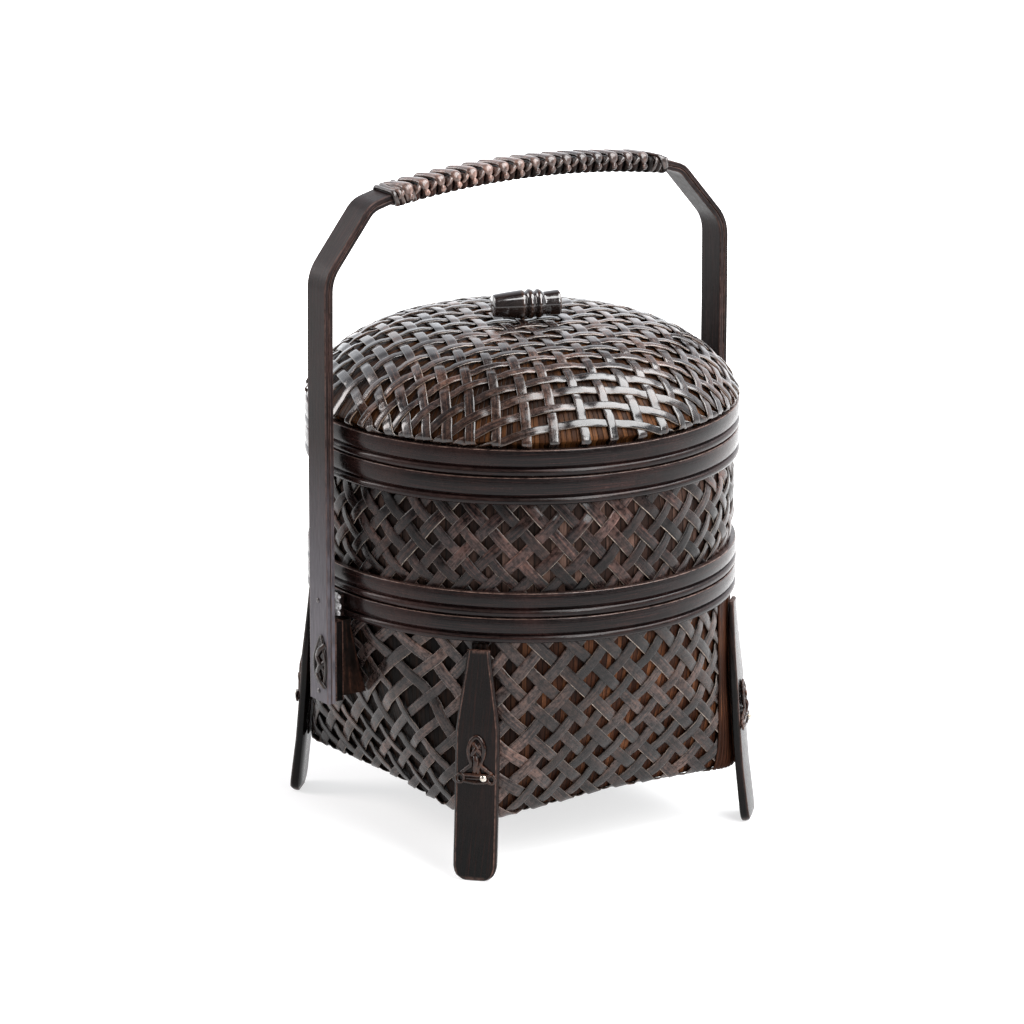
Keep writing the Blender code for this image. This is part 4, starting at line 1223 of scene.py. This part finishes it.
def strand_on_foot(points, turn, wide=0.8, thick=0.9, build=None, seed=0.0, tone=0.5, loop=False):
    """A strand over a foot's face through (side, height, stand) points."""
    line = smooth_path(points, 7, loop)
    path = np.stack([np.array([foot_outer(h) + 0.16 + s for h, s in zip(line[:, 1], line[:, 2])]),
                     line[:, 0], line[:, 1]], -1)
    normal = np.broadcast_to(np.array([1.0, 0.0, 0.0]), path.shape)
    splint(build, spin(path, turn), spin(normal, turn), wide, thick, tone=tone, seed=seed,
           section=CORD, loop=loop)


def pad(build, turn, out, side, middle, half_side_, half_high, thick, seed, point=1.0):
    """A low domed oval, as of strands packed close, standing on a face at distance out."""
    a = np.linspace(0, 2 * PI, 28, endpoint=False)
    rows = []
    for share, rise_ in ((0.2, -0.6), (1.0, -0.5), (0.98, 0.25), (0.8, 0.66), (0.5, 0.9), (0.15, 1.0)):
        y = side + half_side_ * share * np.cos(a) * (1 - 0.25 * (point - 1) * np.abs(np.sin(a)) ** 3)
        z = middle + half_high * share * np.sin(a)
        x = np.array([out(v) for v in z]) + thick * rise_ * (1 + 0.12 * np.sin(5 * a + seed))
        rows.append(np.stack([x, y, z], -1))
    rows = spin(np.array(rows), turn)
    grain = np.zeros(rows.shape)
    grain[..., 0] = (half_high * np.sin(a))[None, :]
    grain[..., 1] = (half_side_ * np.cos(a))[None, :] * 3
    grain[..., 2] = seed
    build.add(rows, ring_faces(*rows.shape[:2]), grain, 0.0, 0.15)


def foot_lashing(build, turn, seed):
    k = dict(turn=turn, build=build)
    pad(build, turn, lambda z: foot_outer(z) + 0.1, 0.0, 43.0, 2.2, 4.2, 0.55, seed, 1.6)
    # the upper loop, a pointed oval of thick strands, and the strand that passes through it
    strand_on_foot([(-4.9, 35.3, 0.1), (-3.2, 36.8, 0.5), (-1.5, 38.6, 0.8), (-2.2, 41.0, 0.8),
                    (-2.45, 43.6, 0.75), (-1.6, 46.2, 0.6), (0.0, 47.4, 0.5), (1.6, 46.2, 0.6),
                    (2.45, 43.6, 0.75), (2.2, 41.0, 0.8), (1.5, 38.6, 1.0), (3.2, 36.8, 0.55),
                    (4.9, 35.3, 0.1)], wide=0.72, thick=0.95, seed=seed, tone=0.5, **k)
    strand_on_foot([(-1.7, 45.8, 0.0), (0.2, 44.0, 1.15), (1.7, 41.4, 0.3)], wide=0.75, thick=0.9,
                   seed=seed + 1, tone=0.85, **k)
    strand_on_foot([(1.7, 45.6, 0.0), (-0.3, 43.2, 1.45), (-1.7, 40.9, 0.3)], wide=0.75, thick=0.9,
                   seed=seed + 2, tone=0.75, **k)
    strand_on_foot([(-0.9, 41.6, 0.3), (0.1, 40.2, 1.6), (-0.1, 37.6, 1.3), (-0.6, 35.6, 0.3)],
                   wide=0.8, thick=0.9, seed=seed + 3, tone=0.85, **k)
    strand_on_foot([(1.1, 40.6, 0.2), (0.9, 38.6, 1.1), (0.7, 36.8, 1.0), (1.0, 35.2, 0.2)],
                   wide=0.7, thick=0.85, seed=seed + 9, tone=0.4, **k)
    # the lower bar of twisted strands, ending in a ring at each hole
    for sign in (1, -1):
        strand_on_foot([(-4.4, 33.9 + 0.9 * sign, 0.5), (-2.2, 33.9 + 1.15 * sign, 0.8),
                        (0.0, 33.7 + 1.2 * sign, 0.75), (2.2, 33.9 + 1.15 * sign, 0.8),
                        (4.4, 33.9 + 0.9 * sign, 0.5)],
                       wide=0.62, thick=0.85, seed=seed + 4 + sign, tone=0.4, **k)
    strand_on_foot([(-3.4, 33.7, 0.3), (0.0, 33.8, 0.45), (3.4, 33.9, 0.3)], wide=0.7, thick=0.7,
                   seed=seed + 12, tone=0.1, **k)
    for side in (-5.05, 5.05):
        ring = [(side + 1.15 * math.cos(t), 33.8 + 1.35 * math.sin(t), 0.55 + 0.15 * math.sin(2 * t))
                for t in np.linspace(0, 2 * PI, 8, endpoint=False)]
        strand_on_foot(ring, wide=0.55, thick=0.9, seed=seed + side, tone=0.45, loop=True, **k)


def nail_head(build, point, turn, radius=1.15, dome=0.75, shank=2.0):
    """A domed nail head facing outwards along the turned X axis, with a short shank behind."""
    profile = [(0, dome), (0.45 * radius, dome * 0.93), (0.8 * radius, dome * 0.6),
               (0.97 * radius, dome * 0.25), (radius, 0.0), (radius * 0.9, -0.12), (0.5, -0.14),
               (0.5, -shank), (0, -shank)]
    part = Build()
    lathe(part, profile[::-1], 24, axis="x")
    verts = part.verts[0]
    moved = spin(verts, turn) + np.asarray(point, float)
    build.add(moved, part.faces, part.grain[0], part.edge[0], 0.5)


corners = {"front_right": -45, "back_right": 45, "back_left": 135, "front_left": 225}
for n, (where, turn) in enumerate(corners.items()):
    slat = Build()
    foot_slat(slat, turn, 2.0 + 5 * n)
    slat.make(f"foot_slat_{where}", foot_look, "base", [f"foot_{where}"],
              hard=48)
    ribs = Build()
    rib_strips(ribs, turn, 1.0 + n)
    if where == "front_right":
        for k, share in enumerate(np.linspace(0.8495, 0.8745, 7)):
            down = np.linspace(9.0, wall.down[-1] - 7.5, 40)
            path, normal = wall.at(np.full(40, share) + 0.0006 * np.sin(down / 9 + k), down)
            splint(ribs, path + normal * 0.28, normal, 0.86, 0.55, tone=(0.55, 0.9, 0.4, 1.0)[k % 4],
                   seed=40 + k * 3)
    ribs.make(f"corner_splints_{where}", base_lining, "base", [f"corner_rib_{where}"])
    knot = Build()
    foot_lashing(knot, turn, 3.0 * n)
    knot.make(f"foot_lashing_{where}", knot_look, "base", [f"foot_knot_{where}"])
    pin = Build()
    a = math.radians(turn)
    out, side = foot_outer(34.3) + 1.55, 2.6
    nail_head(pin, (out * math.cos(a) - side * math.sin(a), out * math.sin(a) + side * math.cos(a),
                    34.3), turn, shank=2.6)
    pin.make(f"foot_pin_{where}", brass_look, "base", [f"foot_nail_{where}"])

# ------------------------------------------------------------------ what joins the legs
KNOT_SHIFT = 2.0
for n, (where, turn) in enumerate({"right": 0, "left": 180}.items()):
    knot = Build()

    def strand(points, wide=0.8, thick=0.85, seed=0.0, tone=0.5, loop=False):
        line = smooth_path(points, 7, loop)
        path = np.stack([BOW_X + 0.1 + line[:, 2], line[:, 0] + KNOT_SHIFT, line[:, 1]], -1)
        normal = np.broadcast_to(np.array([1.0, 0.0, 0.0]), path.shape)
        splint(knot, spin(path, turn), spin(normal, turn), wide, thick, tone=tone, seed=seed,
               section=CORD, loop=loop)

    pad(knot, turn, lambda z: BOW_X + 0.1, KNOT_SHIFT, 64.2, 3.2, 7.8, 0.85, n + 3.0, 2.2)
    strand([(0.0, 72.3, 0.1), (-1.7, 69.2, 0.5), (-3.1, 65.2, 0.65), (-3.3, 61.2, 0.6),
            (-2.1, 57.8, 0.5), (0.0, 56.3, 0.2), (2.1, 57.8, 0.5), (3.3, 61.2, 0.6),
            (3.1, 65.2, 0.65), (1.7, 69.2, 0.5)], wide=0.72, seed=n + 0.1, tone=0.3, loop=True)
    for i, top in enumerate((70.2, 67.3, 64.4, 61.5)):
        lean = 1 if i % 2 else -1
        strand([(-2.3 * lean, top, 0.2), (-0.7 * lean, top - 2.0, 1.25), (1.0 * lean, top - 4.3, 1.05),
                (2.3 * lean, top - 6.2, 0.2)], 0.95, 0.95, n + 1.1 * i, (0.35, 0.9, 0.5, 0.8)[i])
    strand([(0.1, 60.4, 0.8), (0.3, 58.6, 1.0), (0.2, 56.9, 0.3)], 0.85, 0.85, n + 5.1, 0.5)
    knot.make(f"leg_lashing_{where}", knot_look, "base", [f"leg_knot_{where}"])
    for label, z in (("low", 53.4), ("high", 84.0)):
        pin = Build()
        nail_head(pin, spin(np.array([BOW_X + 0.05, 0.0, z]), turn), turn, radius=0.85, dome=0.45,
                  shank=3.5)
        pin.make(f"leg_pin_{label}_{where}", iron_look, "base", [f"leg_nail_{label}_{where}"])
    # the packing at the hoop: a dark block with two pale turns bound round it
    block = Build()
    x = np.linspace(71.25, 72.8, 6)
    path = spin(np.stack([x, 0 * x, 0 * x + 82.0], -1), turn)
    up_way = np.broadcast_to(np.array([0.0, 0.0, 1.0]), path.shape)
    splint(block, path, up_way, 3.4, 7.2, tone=0.3, seed=n, section=slab_section(0.12, 0.05, 2, 0.3))
    block.make(f"leg_packing_{where}", foot_look, "base", [f"leg_spacer_{where}"])
    bound = Build()
    z = np.linspace(78.7, 86.3, 26)
    a = np.linspace(0, 2 * PI, 28, endpoint=False)
    rows = []
    for i, h in enumerate(z):
        end = min(1.0, 0.55 + 0.9 * min(h - 78.7, 86.3 - h))
        fold = 0.22 * math.sin(2.3 * h + n) + 0.14 * math.sin(5.1 * h + 1.0)
        crease = 0.10 * np.sin(3 * a + 1.7 * h) + 0.07 * np.sin(7 * a - 2.9 * h + 2.0)
        x = 73.9 + (1.15 + fold * 0.5) * end * np.cos(a) * (1 + crease)
        y = 0.9 + 0.3 * math.sin(1.1 * h) + (3.9 + fold) * end * np.sin(a) * (1 + 0.5 * crease)
        rows.append(np.stack([x, y, np.full(len(a), h)], -1))
    rows = spin(np.array(rows), turn)
    bound.add(rows, ring_faces(*rows.shape[:2]), np.zeros(rows.shape), 0.0, 0.7)
    bound.make(f"packing_binding_{where}", packing_look, "base", (), hard=50)
    wedge = Build()
    z = np.linspace(51.5, 77.0, 14)
    rows = []
    for h in z:
        near, far = half_side(h) + 0.45, 75.9 - 3.65
        rows.append([(near, -3.6, h), (near, 3.6, h), (far - 0.3, 3.6, h), (far, 3.3, h),
                     (far, -3.3, h), (far - 0.3, -3.6, h)])
    rows = spin(np.array(rows), turn)
    grains = np.zeros(rows.shape)
    grains[..., 0] = z[:, None]
    grains[..., 1] = np.array([0, 5, 8, 9, 12, 13])[None, :]
    wedge.add(rows, ring_faces(*rows.shape[:2]), grains, 0.0, 0.35)
    wedge.make(f"leg_wedge_slat_{where}", wedge_look, "base", [f"leg_wedge_{where}"],
               hard=40)
    slat = Build()
    z = np.linspace(50.4, 77.2, 16)
    path = spin(np.stack([0 * z + 75.9 - 1.8, 0 * z, z], -1), turn)
    out_way = spin(np.broadcast_to(np.array([1.0, 0.0, 0.0]), path.shape), turn)
    splint(slat, path, out_way, 4.9, 3.2, tone=0.4, seed=8.0 + n, section=slab_section(0.07, 0.1, 2))
    slat.make(f"leg_backing_slat_{where}", foot_look, "base", [f"leg_backing_{where}"],
              hard=50)


# ------------------------------------------------------------------ knob
KNOB_TURN = -20.0
KNOB_SHAPE = [(0, -10.1), (1.6, -10.12), (3.3, -10.0), (3.62, -9.75), (3.75, -9.3), (3.9, -8.2),
              (4.12, -6.6), (4.3, -5.0), (4.55, -2.6), (4.75, -0.6), (4.73, -0.1), (4.55, 0.3),
              (4.2, 0.6), (4.1, 0.82), (4.3, 1.05), (4.8, 1.6), (4.93, 2.2), (4.85, 2.75), (4.5, 3.35),
              (4.15, 3.7), (4.12, 3.95), (4.35, 4.25), (4.7, 4.6), (4.8, 5.15), (4.7, 5.7), (4.35, 6.25),
              (3.9, 6.8), (3.88, 7.6), (4.0, 9.0), (4.12, 10.6), (4.2, 11.6), (4.05, 12.15),
              (3.7, 12.4), (1.8, 12.52), (0, 12.5)]


made = Build()
outline = KNOB_SHAPE[:2] + [tuple(q) for q in smooth_path(KNOB_SHAPE[2:-2], 3)] + KNOB_SHAPE[-2:]
worn = [0.7 if min(abs(h - c) for c in (2.2, 5.15, -0.4, 12.0)) < 0.22 else 0.0 for _, h in outline]
toggle = Build()
lathe(toggle, outline, 72, axis="x", worn=worn)
made.add(spin(toggle.verts[0], KNOB_TURN) + np.array([0.0, 0.0, 171.6]), toggle.faces,
         toggle.grain[0], toggle.edge[0], 0.5)
made.make("toggle_knob", wood_look, "knob", ["knob"])
for name in ("knob_tie", "knob_washer"):
    one = nodes[name]
    one.data.materials.clear()
    one.data.materials.append(inner_look)

# hoops and floors that only show when the tiers are lifted
for name in ("base_lip_hoop", "tray_lip_hoop", "tray_floor_hoop", "lid_inner_hoop"):
    nodes[name].data.materials.clear()
    nodes[name].data.materials.append(inner_look)
nodes["tray_floor"].data.materials.clear()
nodes["tray_floor"].data.materials.append(inner_look)


# ------------------------------------------------------------------ floor and light
def floor_look():
    look = Look("glowing_floor")
    grainy = look.noise(look.object_point(), 3.0, 2.0, 0.5)
    x, y, z = look.split(look.object_point())
    # painted light: the whole floor glows like a light table, more strongly behind the basket and up to twice as
    # strongly to its right, where the glow lights the basket's sides
    behind = look.math("ADD", look.math("MULTIPLY", x, 0.54), look.math("MULTIPLY", y, 0.80))
    glow = look.ramp(behind, (0.05, 0.67), (0.75, 0.90))
    right = look.math("SUBTRACT", look.math("MULTIPLY", x, 0.84), look.math("MULTIPLY", y, -0.16))
    glow = look.mix(1.0, glow, look.ramp(right, (0.09, 1.0), (0.24, 2.0)), "MULTIPLY")
    look.set(Base_Color=look.ramp(grainy, (0.3, (0.39, 0.39, 0.39)), (0.7, (0.41, 0.41, 0.41))),
             Roughness=0.9, Specular_IOR_Level=0.0, Emission_Color=glow, Emission_Strength=1.0)
    return look.material


floor_mesh = bpy.data.meshes.new("floor")
floor_mesh.from_pydata([(-8, -8, 0), (8, -8, 0), (8, 8, 0), (-8, 8, 0)], [], [(0, 1, 2, 3)])
floor_mesh.materials.append(floor_look())
floor = bpy.data.objects.new("floor", floor_mesh)
bpy.context.scene.collection.objects.link(floor)

world = bpy.data.worlds.new("world")
bpy.context.scene.world = world
world.use_nodes = True
sky = Look.__new__(Look)
sky.tree = world.node_tree
sx, sy, sz = sky.split(sky.tree.nodes.new("ShaderNodeTexCoord").outputs["Generated"])
rise = sky.ramp(sz, (0.0, (0.95, 0.97, 1.0)), (0.34, (0.74, 0.76, 0.80)), (0.80, (0.42, 0.43, 0.46)),
                (1.0, (0.20, 0.205, 0.22)))
front = sky.math("ADD", sky.math("MULTIPLY", sx, 0.54), sky.math("MULTIPLY", sy, 0.80))
rise = sky.mix(1.0, rise, sky.ramp(sky.math("MULTIPLY_ADD", front, 0.5, 0.5), (0.12, 0.11), (0.58, 0.92),
                                   (0.90, 1.35)),
               "MULTIPLY")
sky.put(world.node_tree.nodes["Background"].inputs["Color"], rise)
world.node_tree.nodes["Background"].inputs["Strength"].default_value = 1.5


def softbox(name, azimuth, elevation, distance, width, height, power, colour=(1, 1, 1), aim=0.11):
    """An area light that stands round the object; azimuth is counted from +X."""
    a, e = math.radians(azimuth), math.radians(elevation)
    way = Vector((math.cos(a) * math.cos(e), math.sin(a) * math.cos(e), math.sin(e)))
    data = bpy.data.lights.new(name, "AREA")
    data.shape, data.size, data.size_y = "RECTANGLE", width, height
    data.energy, data.color = power, colour
    light = bpy.data.objects.new(name, data)
    bpy.context.scene.collection.objects.link(light)
    light.location = Vector((0, 0, aim)) + way * distance
    light.rotation_mode = "QUATERNION"
    light.rotation_quaternion = way.to_track_quat("Z", "Y")
    return light


softbox("key_right", -45, 58, 1.3, 1.5, 0.9, 42.0)
softbox("window_right", -90, 28, 1.3, 0.36, 0.60, 10.0)
softbox("window_left", 138, 27, 1.3, 0.55, 0.70, 12.0, (1.0, 0.94, 0.92))

settings = bpy.context.scene.view_settings
settings.view_transform = "Standard"
settings.look = "None"
